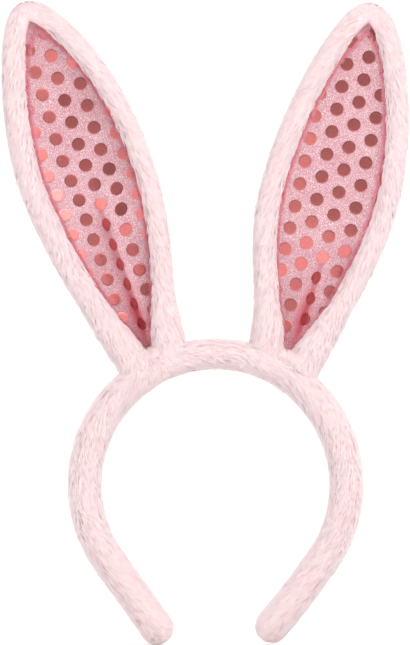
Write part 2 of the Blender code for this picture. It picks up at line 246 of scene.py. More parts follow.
lamp("key_lamp", (0.9, -1.3, 1.2), 1.2, 17)
lamp("fill_lamp", (-1.2, -1.2, 0.4), 1.4, 6)
lamp("back_lamp", (-0.6, 1.5, 0.9), 1.4, 5)

# %% The floor
FLOOR_DROP = 2.0
FLOOR_SIZE = 12
bpy.ops.object.select_all(action="DESELECT")
bpy.ops.mesh.primitive_plane_add(size=FLOOR_SIZE, location=(0, 0, cad_box[0][2] - FLOOR_DROP * MM))
floor = bpy.context.active_object
floor.name = "floor"
floor_paint = bpy.data.materials.new("matt_white_floor_paint")
floor_paint.use_nodes = True
floor_shader = floor_paint.node_tree.nodes["Principled BSDF"]
floor_shader.inputs["Base Color"].default_value = srgb("FAFAFA")
floor_shader.inputs["Roughness"].default_value = 0.9
floor.data.materials.append(floor_paint)
print(f"floor {FLOOR_SIZE} m wide, {FLOOR_DROP} mm below the band's ends")

# %% [markdown]
# ## Working by hand, from a script
#
# The skins below are made with the operators that a person would click: a ring is added, spun, extruded and
# scaled. An operator acts on all that is selected, so each piece starts with nothing selected. Meshes are
# kept in metres, so `at` turns a place in millimetres to a place in the scene.


# %% Helpers for places and numbers
def at(point):
    """A place given in millimetres, as a place in the scene."""
    return Vector(point) * MM


def smooth(x):
    """Eases from 0 to 1 as x goes from 0 to 1."""
    x = np.clip(x, 0, 1)
    return x * x * (3 - 2 * x)


def unit(rows):
    """Rows of vectors, each made one long."""
    return rows / np.maximum(np.linalg.norm(rows, axis=1), 1e-9)[:, None]


def ear_at(side, u, y, t):
    """A place on an ear, in millimetres: u across, y to the back, t up from its foot."""
    return EAR[side] @ Vector((u, y, t))


# %% Helpers for selecting and copying
def only(obj):
    """Makes obj the one selected and active object."""
    bpy.ops.object.select_all(action="DESELECT")
    obj.select_set(True)
    bpy.context.view_layer.objects.active = obj
    return obj


def apply_place(obj):
    """Brings the object back to the origin and leaves its place in its mesh."""
    only(obj)
    bpy.ops.object.transform_apply(location=True, rotation=True, scale=True)
    return obj


def select_where(obj, test, mode="VERT"):
    """In edit mode, selects the vertices (or faces) that pass the test, and nothing else."""
    bpy.ops.mesh.select_mode(type=mode)
    bpy.ops.mesh.select_all(action="DESELECT")
    bpy.ops.object.mode_set(mode="OBJECT")
    for item in obj.data.vertices if mode == "VERT" else obj.data.polygons:
        item.select = test(item)
    bpy.ops.object.mode_set(mode="EDIT")


def copy_of(obj, name):
    """A copy with its own mesh."""
    only(obj)
    bpy.ops.object.duplicate(linked=False)
    made = bpy.context.active_object
    made.name = name
    return made


# %% Helpers for cutting in two, and for reporting
def cut_away(obj, point, normal, fill=True):
    """Bisects obj and throws away the side that the normal points to."""
    only(obj)
    bpy.ops.object.mode_set(mode="EDIT")
    bpy.ops.mesh.select_all(action="SELECT")
    bpy.ops.mesh.bisect(plane_co=at(point), plane_no=normal, use_fill=fill, clear_outer=True)
    bpy.ops.object.mode_set(mode="OBJECT")
    return obj


def halves(obj, names, point, normal, fill=True):
    """Cuts obj in two at a plane: the first piece is behind the normal, the second in front of it."""
    second = copy_of(obj, names[1])
    obj.name = names[0]
    cut_away(obj, point, normal, fill)
    cut_away(second, point, -Vector(normal), fill)
    return obj, second


def report(*made):
    """Prints what each piece came to."""
    for obj in made:
        size = obj.dimensions / MM
        faces = len(obj.data.polygons)
        print(f"{obj.name}: {faces} faces, {size.x:.1f} x {size.y:.1f} x {size.z:.1f} mm")


# %% [markdown]
# ## The band's plush skin
#
# The band is a tube of plush pulled over foam: about 19 mm deep and 13 mm thick under the pile, with
# rounded, closed ends. It could be swept along a curve, but by hand it is quicker to spin: a ring stands
# across the crown, is spun round the centre of the arc, is extruded straight for the closing end, and is
# then extruded and shrunk a few times to round the end off.
#
# The padding is fuller in the arms than at the crown, and the ends close in a little, so the tube is
# sculpted after it is spun. The hoop flexes at two places on each side, and a piece can bend at one joint
# only. So each side is cut in two between its hinges, and the pile hides the cut.

# %% Sizes of the band
# Half depth and half thickness of the skin, and the angles of the rings that round its end off.
SKIN_DEEP = 9.7
SKIN_THICK = 6.8
RING_POINTS = 28
SPIN_STEPS = 54
END_RINGS = 8
END_ANGLES = (20, 40, 58, 72, 84)

# How much fuller the arms are, between which angles that begins, and how far each end closes in.
ARM_FULLER = 0.11
PLUMP_FROM = math.radians(12)
PLUMP_TO = math.radians(60)
END_CLOSES = {-1: -0.4, 1: 1.2}

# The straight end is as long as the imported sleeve, whose lowest point is its round end, and a little over.
END_ROUND = 8.6
END_OVERHANG = 1.8
end_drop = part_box("right_arm_sleeve")[0].z / MM + END_ROUND - ARC_Z - ARC_RADIUS * math.cos(ARC_END)
END_LENGTH = END_OVERHANG - end_drop / math.sin(ARC_END)
end_way = Vector((math.cos(ARC_END), 0, -math.sin(ARC_END)))
print(f"straight end {END_LENGTH:.1f} mm")


# %% Spin one side of the band
def arc_way(angle):
    """The way outwards from the arc's centre, at a signed angle from the crown."""
    return Vector((math.sin(angle), 0, math.cos(angle)))


def arc_place(angle):
    """A place on the band's centreline, in millimetres, at a signed angle from the crown."""
    return ARC_CENTRE + ARC_RADIUS * arc_way(angle)


def plump(band, sign):
    """Sculpts the tube: fuller in the arms than at the crown, and closed in at the ends."""
    for vertex in band.data.vertices:
        place = vertex.co / MM - ARC_CENTRE
        angle = abs(math.atan2(place.x, place.z))
        fuller = 1 + ARM_FULLER * smooth((angle - PLUMP_FROM) / (PLUMP_TO - PLUMP_FROM))
        if angle < ARC_END:
            radial = Vector((place.x, 0, place.z)).normalized()
            vertex.co += radial * (place.dot(radial) - ARC_RADIUS) * (fuller - 1) * MM
        else:
            start = ARC_RADIUS * arc_way(sign * ARC_END)
            way = Vector((sign * end_way.x, 0, end_way.z))
            outwards = Vector((-way.z * sign, 0, way.x * sign))
            beside = (place - start).dot(outwards)
            along = (place - start).dot(way)
            close_in = END_CLOSES[sign] * smooth((along - END_LENGTH * 0.45) / (END_LENGTH * 0.6))
            vertex.co += outwards * (beside * (fuller - 1) - close_in) * MM
        vertex.co.y *= 1 + (fuller - 1) / 2


def spin_band(name, sign):
    """One side of the band, from the middle of the crown to its rounded end."""
    bpy.ops.object.select_all(action="DESELECT")
    bpy.ops.mesh.primitive_circle_add(
        vertices=RING_POINTS, radius=1, location=at((0, 0, ARC_Z + ARC_RADIUS)), rotation=(0, math.pi / 2, 0)
    )
    band = bpy.context.active_object
    band.name = name
    band.scale = (SKIN_THICK * MM, SKIN_DEEP * MM, 1)
    apply_place(band)
    bpy.ops.object.mode_set(mode="EDIT")
    bpy.ops.mesh.select_all(action="SELECT")
    bpy.ops.mesh.edge_face_add()
    bpy.ops.mesh.delete(type="ONLY_FACE")
    bpy.ops.mesh.select_all(action="SELECT")
    bpy.ops.mesh.spin(steps=SPIN_STEPS, angle=-sign * ARC_END, center=at(ARC_CENTRE), axis=(0, 1, 0))
    way = Vector((sign * end_way.x, 0, end_way.z))
    for _ in range(END_RINGS):
        bpy.ops.mesh.extrude_region_move(TRANSFORM_OT_translate={"value": at(way * END_LENGTH / END_RINGS)})
    centre = arc_place(sign * ARC_END) + way * END_LENGTH
    reach, width = 0.0, 1.0
    for angle in END_ANGLES:
        ahead = SKIN_THICK * math.sin(math.radians(angle))
        narrower = math.cos(math.radians(angle))
        bpy.ops.mesh.extrude_region_move(TRANSFORM_OT_translate={"value": at(way * (ahead - reach))})
        centre = centre + way * (ahead - reach)
        factor = narrower / width
        bpy.ops.transform.resize(value=(factor, factor, factor), center_override=at(centre))
        reach, width = ahead, narrower
    bpy.ops.mesh.extrude_region_move(TRANSFORM_OT_translate={"value": at(way * (SKIN_THICK - reach))})
    bpy.ops.mesh.merge(type="CENTER")
    bpy.ops.object.mode_set(mode="OBJECT")
    plump(band, sign)
    bpy.ops.object.mode_set(mode="EDIT")
    select_where(band, lambda vertex: abs(vertex.co.x) < 0.01 * MM)
    bpy.ops.mesh.edge_face_add()
    bpy.ops.mesh.select_all(action="SELECT")
    bpy.ops.mesh.normals_make_consistent(inside=False)
    bpy.ops.object.mode_set(mode="OBJECT")
    only(band)
    bpy.ops.object.shade_smooth()
    return band


# %% Cut each side between its hinges
bands = {}
for side, sign in SIDES.items():
    whole = spin_band("band", sign)
    split_way = Vector((sign * math.cos(SPLIT_ANGLE), 0, -math.sin(SPLIT_ANGLE)))
    names = (f"{side}_crown_skin", f"{side}_arm_skin")
    bands[side] = halves(whole, names, arc_place(sign * SPLIT_ANGLE), split_way)
    report(*bands[side])

# %% [markdown]
# ## The rolled rims
#
# The rim of an ear is the plush back turned forward over a wire, so it is a round roll that follows the
# ear's outline. One Bezier curve draws it, through the two feet, the widest place of each edge, and the
# tip. A round bevel makes the curve a tube, thicker at the feet, where the cloth is bunched. The two ears
# aren't the same: the left one is even, and the right one swells to the outside. The numbers below say
# so.


# %% Outlines
class Edge:
    """One edge of an ear's rim line, with the lengths of its curve handles and the radius of its roll."""

    def __init__(self, foot, full, full_height, splay, pulls, roll):
        self.foot = foot
        self.full = full
        self.full_height = full_height
        self.splay = splay
        self.foot_pull, self.below_pull, self.above_pull, self.tip_pull = pulls
        self.roll = roll


OUTER_EDGE = {
    "left": Edge(9.9, 27.7, 102.0, 0.31, (35.0, 28.0, 34.0, 10.0), 5.6),
    "right": Edge(13.6, 32.8, 91.0, 0.38, (31.0, 26.0, 38.0, 14.0), 4.9),
}
INNER_EDGE = {
    "left": Edge(12.6, 30.6, 98.0, 0.17, (28.0, 40.0, 58.0, 7.0), 4.5),
    "right": Edge(9.9, 27.0, 82.0, 0.18, (27.0, 31.0, 48.0, 9.0), 5.1),
}
# Height of the tip, height and roll of the feet, and the share of the lower stretch where the roll has
# settled.
TIP_HEIGHT = {"left": 188.8, "right": 182.8}
FOOT_RISE = 4.0
FOOT_ROLL = 8.0
ROLL_SETTLES = 0.30


def split_curve(start, leave, arrive, end, s):
    """Cuts a Bezier stretch at s: the two handles before the cut, the cut, and the two handles after it."""
    a, b, c = start.lerp(leave, s), leave.lerp(arrive, s), arrive.lerp(end, s)
    d, e = a.lerp(b, s), b.lerp(c, s)
    return a, d, d.lerp(e, s), e, c


def edge_points(edge, sign):
    """The Bezier points of one edge from the foot up, as [before, place, after, roll], in (u, t)."""
    foot = Vector((sign * edge.foot, FOOT_RISE))
    full = Vector((sign * edge.full, edge.full_height))
    leave = foot + Vector((sign * edge.splay, 1)).normalized() * edge.foot_pull
    arrive = full - Vector((0, edge.below_pull))
    a, d, cut, e, c = split_curve(foot, leave, arrive, full, ROLL_SETTLES)
    above = full + Vector((0, edge.above_pull))
    return [
        [foot - (leave - foot) / 3, foot, a, FOOT_ROLL],
        [d, cut, e, edge.roll + 0.3],
        [c, full, above, edge.roll],
    ]


def rim_points(side):
    """The seven Bezier points of a rim, from the outer foot over the tip to the inner foot."""
    outer, inner = OUTER_EDGE[side], INNER_EDGE[side]
    rising = edge_points(outer, SIDES[side])
    mirrored = edge_points(inner, -SIDES[side])
    falling = [[after, place, before, roll] for before, place, after, roll in mirrored]
    tip = Vector((0, TIP_HEIGHT[side]))
    before = tip + Vector((SIDES[side] * outer.tip_pull, 0))
    after = tip - Vector((SIDES[side] * inner.tip_pull, 0))
    return [*rising, [before, tip, after, (outer.roll + inner.roll) / 2], *reversed(falling)]


# %% Look up an outline by height
def rim_line(side, steps=60):
    """Places along the rim line, from the outer foot over the tip to the inner foot, as rows of (u, t)."""
    points = rim_points(side)
    rows = []
    for (_, start, leave, _), (arrive, end, _, _) in zip(points, points[1:]):
        for step in range(steps):
            s = step / steps
            near = start * (1 - s) ** 3 + 3 * leave * s * (1 - s) ** 2
            rows.append(near + 3 * arrive * s * s * (1 - s) + end * s**3)
    rows.append(points[-1][1])
    return np.array(rows)


def half_widths(side):
    """Two tables to look up the rim line by height: heights, and u at the left and at the right edge."""
    line = rim_line(side)
    top = int(np.argmax(line[:, 1]))
    one, two = line[: top + 1], line[top:][::-1]
    left, right = (one, two) if one[0, 0] < 0 else (two, one)
    heights = np.linspace(FOOT_RISE, line[top, 1], 240)
    lookup = [np.interp(heights, edge[:, 1], edge[:, 0]) for edge in (left, right)]
    return heights, *lookup


WIDTHS = {side: half_widths(side) for side in SIDES}


def edges_at(side, t):
    """u of the rim line at the left and at the right, at height t."""
    heights, left, right = WIDTHS[side]
    return np.interp(t, heights, left), np.interp(t, heights, right)


for side in SIDES:
    left, right = edges_at(side, 95.0)
    print(f"{side} rim line at 95 mm: from {left:.1f} to {right:.1f} mm")

# %% Roll the rims
# Where an ear is cut in two, how far its rolls go down into the band, and how thick they are down there.
EAR_SPLIT = 52.0
RIM_SINK = 12.0
SUNK_ROLL = 9.4


def roll_rim(name, side):
    """The rim's tube, from below one foot over the tip to below the other."""
    points = rim_points(side)
    bpy.ops.object.select_all(action="DESELECT")
    bpy.ops.curve.primitive_bezier_curve_add()
    curve = bpy.context.active_object
    curve.name = name
    curve.data.dimensions = "3D"
    curve.data.resolution_u = 24
    curve.data.bevel_depth = MM
    curve.data.bevel_resolution = 6
    curve.data.use_fill_caps = True
    spline = curve.data.splines[0]
    spline.bezier_points.add(len(points))
    first, last = points[0], points[-1]
    sink_first = first[1] - (first[2] - first[1]).normalized() * RIM_SINK
    sink_last = last[1] - (last[0] - last[1]).normalized() * RIM_SINK
    points = [
        (sink_first, sink_first, (sink_first + first[1]) / 2, SUNK_ROLL),
        *points,
        ((sink_last + last[1]) / 2, sink_last, sink_last, SUNK_ROLL),
    ]
    for bezier, (before, place, after, roll) in zip(spline.bezier_points, points):
        bezier.handle_left_type = bezier.handle_right_type = "FREE"
        bezier.co = at(ear_at(side, place[0], 0, place[1]))
        bezier.handle_left = at(ear_at(side, before[0], 0, before[1]))
        bezier.handle_right = at(ear_at(side, after[0], 0, after[1]))
        bezier.radius = roll
    only(curve)
    bpy.ops.object.convert(target="MESH")
    apply_place(curve)
    bpy.ops.object.mode_set(mode="EDIT")
    bpy.ops.mesh.select_all(action="SELECT")
    bpy.ops.mesh.remove_doubles(threshold=0.01 * MM)
    bpy.ops.mesh.normals_make_consistent(inside=False)
    bpy.ops.object.mode_set(mode="OBJECT")
    bpy.ops.object.shade_smooth()
    return curve


rims = {}
for side in SIDES:
    whole = roll_rim("rim", side)
    up = EAR[side].to_3x3() @ Vector((0, 0, 1))
    rims[side] = halves(whole, (f"{side}_rim_low", f"{side}_rim_top"), ear_at(side, 0, 0, EAR_SPLIT), up)
    report(*rims[side])

# %% [markdown]
# ## The shape of a lining
#
# The lining is a sheet of knit sewn in along the rim. It dips back between the rims, and below the middle
# of the ear it is folded: one side slopes gently down to the crease and the other side stands up like a
# wall. Along the left border the sheet curls up steeply to the rim. Sculpting that by hand would leave
# the dots and the back to be fitted again after each change. So `lining_depth` gives how far back the
# sheet lies at any place, and the sheet, the dots and the back all use it and stay together.

# %% How far back the lining lies
# The dip of the sheet between the rims: low in the ear, at its top, and the heights between which it
# changes.
DISH_LOW = 3.4
DISH_TOP = 1.6
DISH_FADE = (40.0, 170.0)
CREASE = {
    # side: (u at the bottom, u at the top, height of its top, depth, width of its floor, wall's run)
    "left": (0.6, -0.2, 100.0, 5.4, 6.0, 4.0),
    "right": (3.0, 7.8, 74.0, 4.6, 8.0, 3.8),
}
# The slope beside the crease: its run on one side, and how steeply the sheet leans beyond the wall on the
# other.
CREASE_BOTTOM = 5.0
CREASE_FALL = 12.0
CREASE_LEAN = 0.36
LEAN_FADE = (72.0, 22.0)
# The crease is weaker at its foot, and fades out over FADE millimetres at its top.
CREASE_FADE = 38.0
CREASE_FOOT = 0.45
FOOT_FADE = 20.0
CURL = {
    # side: (how far the left border curls, over what width, from and to what height, how much of it forward)
    "left": (9.0, 29.0, 70.0, 186.0, 0.45),
    "right": (4.2, 17.0, 50.0, 150.0, 1.0),
}


def crease_u(side, t):
    """u of the crease line at height t."""
    bottom_u, top_u, top = CREASE[side][:3]
    return bottom_u + (top_u - bottom_u) * np.clip((t - CREASE_BOTTOM) / (top - CREASE_BOTTOM), 0, 1)


def crease_strength(side, t):
    """How strong the crease is at height t, from 0 to 1."""
    top = CREASE[side][2]
    foot = smooth((t - CREASE_BOTTOM + 3) / FOOT_FADE)
    return smooth((top - t) / CREASE_FADE) * (CREASE_FOOT + (1 - CREASE_FOOT) * foot)


def lining_depth(side, u, t):
    """How far behind the rim line the lining lies at u and t, in millimetres."""
    left, right = edges_at(side, t)
    middle, half = (left + right) / 2, (right - left) / 2
    q = np.clip(np.abs(u - middle) / half, 0, 1)
    bowl = DISH_LOW + (DISH_TOP - DISH_LOW) * smooth((t - DISH_FADE[0]) / (DISH_FADE[1] - DISH_FADE[0]))
    depth = bowl * (1 - q**4)
    deep, floor, wall = CREASE[side][3:]
    beside = u - crease_u(side, t)
    fall = np.where(beside < 0, 1 - smooth((-beside - floor) / CREASE_FALL), 0)
    climb = np.where(beside >= 0, 1 - smooth(beside / wall), 0)
    low_down = smooth((LEAN_FADE[0] - t) / LEAN_FADE[1])
    lean = CREASE_LEAN * np.clip(beside - wall, 0, None) * low_down * (1 - q**5)
    depth = depth + deep * crease_strength(side, t) * (fall + climb) + lean
    lift, run, low, high, forward = CURL[side]
    curl = lift * smooth((t - low) / 30) * smooth((high - t) / 40)
    return depth + curl * (1 - forward - np.clip(1 - (u - left) / run, 0, 1) ** 2)


print(f"left lining lies {lining_depth('left', 0.0, 60.0):.1f} mm back at 60 mm")

# %% Lay the linings
# How far inside the rim line the sheet begins, where it starts above the foot and ends below the tip, and
# its grid.
LINING_TUCK = 1.2
LINING_FOOT = 0.5
LINING_TOP_GAP = 3.0
SHEET_ACROSS = 56
SHEET_ALONG = 190


def lay_sheet(name, side, depth_of, tuck, foot, top):
    """A grid sheet fitted between the rim lines, at the depth that depth_of gives."""
    bpy.ops.object.select_all(action="DESELECT")
    bpy.ops.mesh.primitive_grid_add(x_subdivisions=SHEET_ACROSS, y_subdivisions=SHEET_ALONG, size=2)
    sheet = bpy.context.active_object
    sheet.name = name
    for vertex in sheet.data.vertices:
        t = foot + (top - foot) * (vertex.co.y + 1) / 2
        left, right = edges_at(side, t)
        left, right = left + tuck, right - tuck
        u = left + (right - left) * (vertex.co.x + 1) / 2
        vertex.co = at(ear_at(side, u, float(depth_of(side, u, t)), t))
    sheet.data.update()
    only(sheet)
    bpy.ops.object.shade_smooth()
    return sheet


linings = {}
for side in SIDES:
    top = TIP_HEIGHT[side] - LINING_TOP_GAP
    whole = lay_sheet("lining", side, lining_depth, LINING_TUCK, LINING_FOOT, top)
    up = EAR[side].to_3x3() @ Vector((0, 0, 1))
    names = (f"{side}_lining_low", f"{side}_lining_top")
    linings[side] = halves(whole, names, ear_at(side, 0, 0, EAR_SPLIT), up, fill=False)
    report(*linings[side])

# %% Helpers that read and mark the points of a mesh
def store(obj, name, values):
    """Keeps one number per point in the mesh, for a material to read."""
    attribute = obj.data.attributes.new(name, "FLOAT", "POINT")
    attribute.data.foreach_set("value", np.asarray(values, np.float32))


def points_of(mesh):
    """The points of a mesh as rows."""
    co = np.zeros(len(mesh.vertices) * 3)
    mesh.vertices.foreach_get("co", co)
    return co.reshape(-1, 3)


def ear_places(side, place):
    """Places in millimetres as u, y and t in the ear's own frame."""
    inverse = np.array(EAR[side].inverted())
    return place @ inverse[:3, :3].T + inverse[:3, 3]


# %% Note on each point of a lining how near it is to the rim and to the crease, where shade is painted
BORDER_RUN = 9.0
CREASE_RUN = 3.2
CREASE_SHIFT = 0.8
for side in SIDES:
    for sheet in linings[side]:
        u, _, t = ear_places(side, points_of(sheet.data) / MM).T
        left, right = edges_at(side, t)
        # This mask darkens the knit towards the rolled rim: painted shade along the seam.
        store(sheet, "painted_rim_shade", 1 - np.clip(np.minimum(u - left, right - u) / BORDER_RUN, 0, 1))
        beside = u - crease_u(side, t) - CREASE_SHIFT
        # This mask paints the knit a deeper red down in the crease, more so low down: painted shade.
        crease_shade_strength = (0.25 + 0.75 * smooth((46 - t) / 26)) * crease_strength(side, t)
        store(sheet, "painted_crease_shade", np.exp(-((beside / CREASE_RUN) ** 2)) * crease_shade_strength)
    print(f"{side} lining marked")

# %% [markdown]
# ## The padded back
#
# Behind the lining lie a thin wadding and the plush back. Nobody sees the wadding, so both are one closed
# pad: its front follows the lining a little behind it, and its back bulges and joins the rolls at its
# edge. It starts as another sheet, extruded backwards, and the new layer is then pushed out to the bulge.
# Blowing it up by simulation would round it off, but the rolls hold the real pad flat.

# %% Sew the backs
# Gap behind the lining, least thickness, how far back the edge lies, and the bulge: wide, and near the
# edge.
PAD_GAP = 0.8
PAD_THINNEST = 0.8
PAD_EDGE = 4.4
PAD_BULGE = 4.6
PAD_SHOULDER = 1.6
PAD_FLATTENS = 40
PAD_TOP_GAP = 1.0


def pad_front(side, u, t):
    """The front of the pad lies close behind the lining."""
    return lining_depth(side, u, t) + PAD_GAP


def pad_back(side, u, t):
    """The back of the pad: level with the rolls at the edge, and bulged between them."""
    left, right = edges_at(side, t)
    q = np.clip(np.abs(u - (left + right) / 2) / ((right - left) / 2), 0, 1)
    flat = min(1.0, (right - left) / PAD_FLATTENS)
    bulge = PAD_EDGE + PAD_BULGE * flat * (1 - q**2) + PAD_SHOULDER * flat * (1 - q**6)
    return np.maximum(bulge, pad_front(side, u, t) + PAD_THINNEST)


def sew_back(name, side):
    """The pad: a sheet behind the lining, extruded to the back and bulged."""
    top = TIP_HEIGHT[side] - PAD_TOP_GAP
    pad = lay_sheet(name, side, pad_front, 0.0, LINING_FOOT, top)
    to_ear = EAR[side].inverted()
    bpy.ops.object.mode_set(mode="EDIT")
    bpy.ops.mesh.select_all(action="SELECT")
    bpy.ops.mesh.extrude_region_move(TRANSFORM_OT_translate={"value": (0, 3 * MM, 0)})
    bpy.ops.object.mode_set(mode="OBJECT")
    for vertex in pad.data.vertices:
        if vertex.select:
            u, _, t = to_ear @ (vertex.co / MM)
            vertex.co.y = float(pad_back(side, u, t)) * MM
    bpy.ops.object.mode_set(mode="EDIT")
    bpy.ops.mesh.select_all(action="SELECT")
    bpy.ops.mesh.normals_make_consistent(inside=False)
    bpy.ops.object.mode_set(mode="OBJECT")
    return pad


backs = {}
for side in SIDES:
    whole = sew_back("back", side)
    up = EAR[side].to_3x3() @ Vector((0, 0, 1))
    backs[side] = halves(whole, (f"{side}_back_low", f"{side}_back_top"), ear_at(side, 0, 0, EAR_SPLIT), up)
    report(*backs[side])

# %% [markdown]
# ## The gathered roots
#
# The lower end of each ear is gathered and sewn down on the band. All that shows of it is a plump knob of
# plush between the two rolls, which the pile blends into the band. Its folds and its thread are under the
# pile, so a sphere, stretched to that size and sunk in the band, is enough.

# %% Gather the roots
# Half width, half depth, and the heights of the knob's lower and upper end above the ear's foot.
ROOT_HALF = 17.0
ROOT_DEEP = 7.8
ROOT_LOW = -7.0
ROOT_HIGH = 2.6


def gather_root(name, side):
    """The sewn-down end of an ear."""
    bpy.ops.object.select_all(action="DESELECT")
    bpy.ops.mesh.primitive_uv_sphere_add(segments=40, ring_count=20, radius=1)
    root = bpy.context.active_object
    root.name = name
    middle = (ROOT_LOW + ROOT_HIGH) / 2
    stretch = Matrix.Diagonal((ROOT_HALF, ROOT_DEEP, (ROOT_HIGH - ROOT_LOW) / 2, 1))
    root.matrix_world = Matrix.Scale(MM, 4) @ EAR[side] @ Matrix.Translation((0, 0, middle)) @ stretch
    apply_place(root)
    bpy.ops.object.shade_smooth()
    return root


roots = {side: gather_root(f"{side}_root", side) for side in SIDES}
report(*roots.values())

# %% [markdown]
# ## Foil dots
#
# The dots are round foils, about 7 mm across, pressed on the knit in a honeycomb pattern 12 mm apart,
# with one row nearly along the ear. They could be painted on by the material, but real ones have an edge
# and face their own way. So one dot is modelled: a filled circle, inset three times, and given a hair's
# thickness. It is then copied to each place of the pattern. The copies have to bend with the cloth, and
# on a steep slope they look narrow, so each point of a dot is laid by its distance along the cloth, not
# by its u.

# %% Model one dot
DOT_RADIUS = 3.42
DOT_THICK = 0.12
DOT_PITCH = 12.0
DOT_LIFT = 0.16
DOT_INSETS = 3

bpy.ops.object.select_all(action="DESELECT")
bpy.ops.mesh.primitive_circle_add(vertices=28, radius=DOT_RADIUS, fill_type="NGON")
dot = bpy.context.active_object
bpy.ops.object.mode_set(mode="EDIT")
bpy.ops.mesh.select_all(action="SELECT")
for _ in range(DOT_INSETS):
    bpy.ops.mesh.inset(thickness=DOT_RADIUS / 4.2, depth=0)
bpy.ops.mesh.select_all(action="SELECT")
bpy.ops.mesh.extrude_region_move(TRANSFORM_OT_translate={"value": (0, 0, DOT_THICK)})
bpy.ops.mesh.select_all(action="SELECT")
bpy.ops.mesh.normals_make_consistent(inside=False)
bpy.ops.object.mode_set(mode="OBJECT")
report(dot)


# %% A helper that makes many copies of one small mesh
def mesh_of_copies(name, template, places):
    """One object with a copy of the template at each row of places, which is (copies, points, 3) in mm."""
    copies, points = places.shape[:2]
    loops = np.zeros(len(template.loops), np.int64)
    template.loops.foreach_get("vertex_index", loops)
    starts = np.zeros(len(template.polygons), np.int64)
    template.polygons.foreach_get("loop_start", starts)
    shift = np.arange(copies)[:, None]
    mesh = bpy.data.meshes.new(name)
    mesh.vertices.add(copies * points)
    mesh.vertices.foreach_set("co", (places * MM).astype(np.float32).ravel())
    mesh.loops.add(copies * len(loops))
    mesh.loops.foreach_set("vertex_index", (loops + shift * points).astype(np.int32).ravel())
    mesh.polygons.add(copies * len(starts))
    mesh.polygons.foreach_set("loop_start", (starts + shift * len(loops)).astype(np.int32).ravel())
    mesh.update(calc_edges=True)
    mesh.validate()
    made = bpy.data.objects.new(name, mesh)
    bpy.context.scene.collection.objects.link(made)
    only(made)
    bpy.ops.object.shade_smooth()
    return made


# %% The pattern and how the cloth draws it in
# How far the rows are turned, one dot's place, and the u at which the pattern keeps its place on the slope.
PATTERN_TURN = {"left": math.radians(2.6), "right": math.radians(1.7)}
PATTERN_START = {"left": (-6.6, 145.7), "right": (5.9, 136.6)}
PATTERN_PINNED = {"left": -7.0, "right": -3.0}

# Below what height the knit is drawn in, to what share of its height, and how far it shifts there.
GATHER_FROM = {"left": 108.0, "right": 70.0}
GATHER_SHARE = {"left": 0.915, "right": 0.93}
GATHER_SHIFT = {"left": 1.4, "right": 0.0}

# How near a dot's centre may come to the rim line, to the foot and to the tip.
DOT_MARGIN = 3.5
DOT_FOOT = 6.0
DOT_TIP = 8.0
DOT_OWN = 0.15


def cloth_u(side, start_u, s, t):
    """Where a place s millimetres along the cloth from start_u, to the right, comes to lie, as u."""
    grid = np.linspace(-45, 45, 1801)
    depth = lining_depth(side, grid, np.full_like(grid, t))
    run = np.concatenate([[0], np.cumsum(np.hypot(np.diff(grid), np.diff(depth)))])
    return np.interp(np.interp(start_u, grid, run) + s, run, grid)


def stiffen(foils, points):
    """A foil is stiffer than the knit: most of its shading comes from the way that the whole dot faces."""
    own = np.zeros(len(foils.data.vertices) * 3)
    foils.data.vertices.foreach_get("normal", own)
    own = own.reshape(-1, points, 3)
    front, back = own[:, points // 2 :], own[:, : points // 2]
    if front[..., 1].mean() >= 0:
        front = back
    mean = unit(front.mean(axis=1))[:, None, :]
    facing = np.sign((own * mean).sum(2, keepdims=True))
    turned = unit((own * DOT_OWN + mean * facing).reshape(-1, 3))
    foils.data.normals_split_custom_set_from_vertices(turned)


def gathered(side, place):
    """Where a place of the flat pattern lies: low down the knit is drawn in, and its rows run straight up."""
    below = max(GATHER_FROM[side] - place.y, 0)
    straight = -SIDES[side] * below * math.tan(PATTERN_TURN[side])
    shift = GATHER_SHIFT[side] * float(smooth(below / 20))
    return place.x + straight + shift, place.y + below * (1 - GATHER_SHARE[side])


# %% Print the dots
def lay_dot(side, across, t):
    """The points of one dot, whose middle is at `across` on the flat pattern and at height t."""
    pin = PATTERN_PINNED[side]
    laid = []
    for x, y, z in points_of(dot.data):
        height = t + y
        wide = float(cloth_u(side, pin, across - pin + x, height))
        back = float(lining_depth(side, wide, height))
        slope = float(lining_depth(side, wide + 0.1, height)) - back
        normal = Vector((slope / 0.1, -1, 0)).normalized()
        spot = Vector((wide, back, height)) + normal * (DOT_LIFT + z)
        laid.append(EAR[side] @ spot)
    return laid


def print_dots(side):
    """The pattern's dots as two objects, for the lower and the upper part of the ear."""
    out = SIDES[side]
    turn, pin = PATTERN_TURN[side], PATTERN_PINNED[side]
    row_way = Vector((-out * math.sin(turn), math.cos(turn)))
    next_row = Vector((row_way.y, -row_way.x)) * DOT_PITCH * math.cos(math.radians(30))
    start = Vector(PATTERN_START[side])
    placed = {"low": [], "top": []}
    for row in range(-4, 5):
        for step in range(-18, 6):
            centre = start + next_row * row + row_way * DOT_PITCH * (step + (row % 2) / 2)
            across, t = gathered(side, centre)
            if not FOOT_RISE + DOT_FOOT < t < TIP_HEIGHT[side] - DOT_TIP:
                continue
            u = float(cloth_u(side, pin, across - pin, t))
            left, right = edges_at(side, t)
            if not left + DOT_MARGIN < u < right - DOT_MARGIN:
                continue
            placed["low" if t < EAR_SPLIT else "top"].append(lay_dot(side, across, t))
    made = []
    for part in ("low", "top"):
        foils = mesh_of_copies(f"{side}_dots_{part}", dot.data, np.array(placed[part]))
        stiffen(foils, len(dot.data.vertices))
        made.append(foils)
    return made


dots = {side: print_dots(side) for side in SIDES}
for side in SIDES:
    report(*dots[side])
bpy.data.objects.remove(dot)

# %% [markdown]
# ## One lock of pile
#
# Real pile is some hundred hairs to the square millimetre. A hair system could grow them, but what the
# eye sees at this size is locks: small groups of hairs that dried together, under a millimetre wide and
# about six long, all lying one way. So the pile is made of locks, and a lock is a three-sided cone with
# one more ring, swollen a little: ten triangles. It is modelled once and copied tens of thousands of
# times, bent and tinted a little differently each time. It is real geometry, so the outline is furry too.

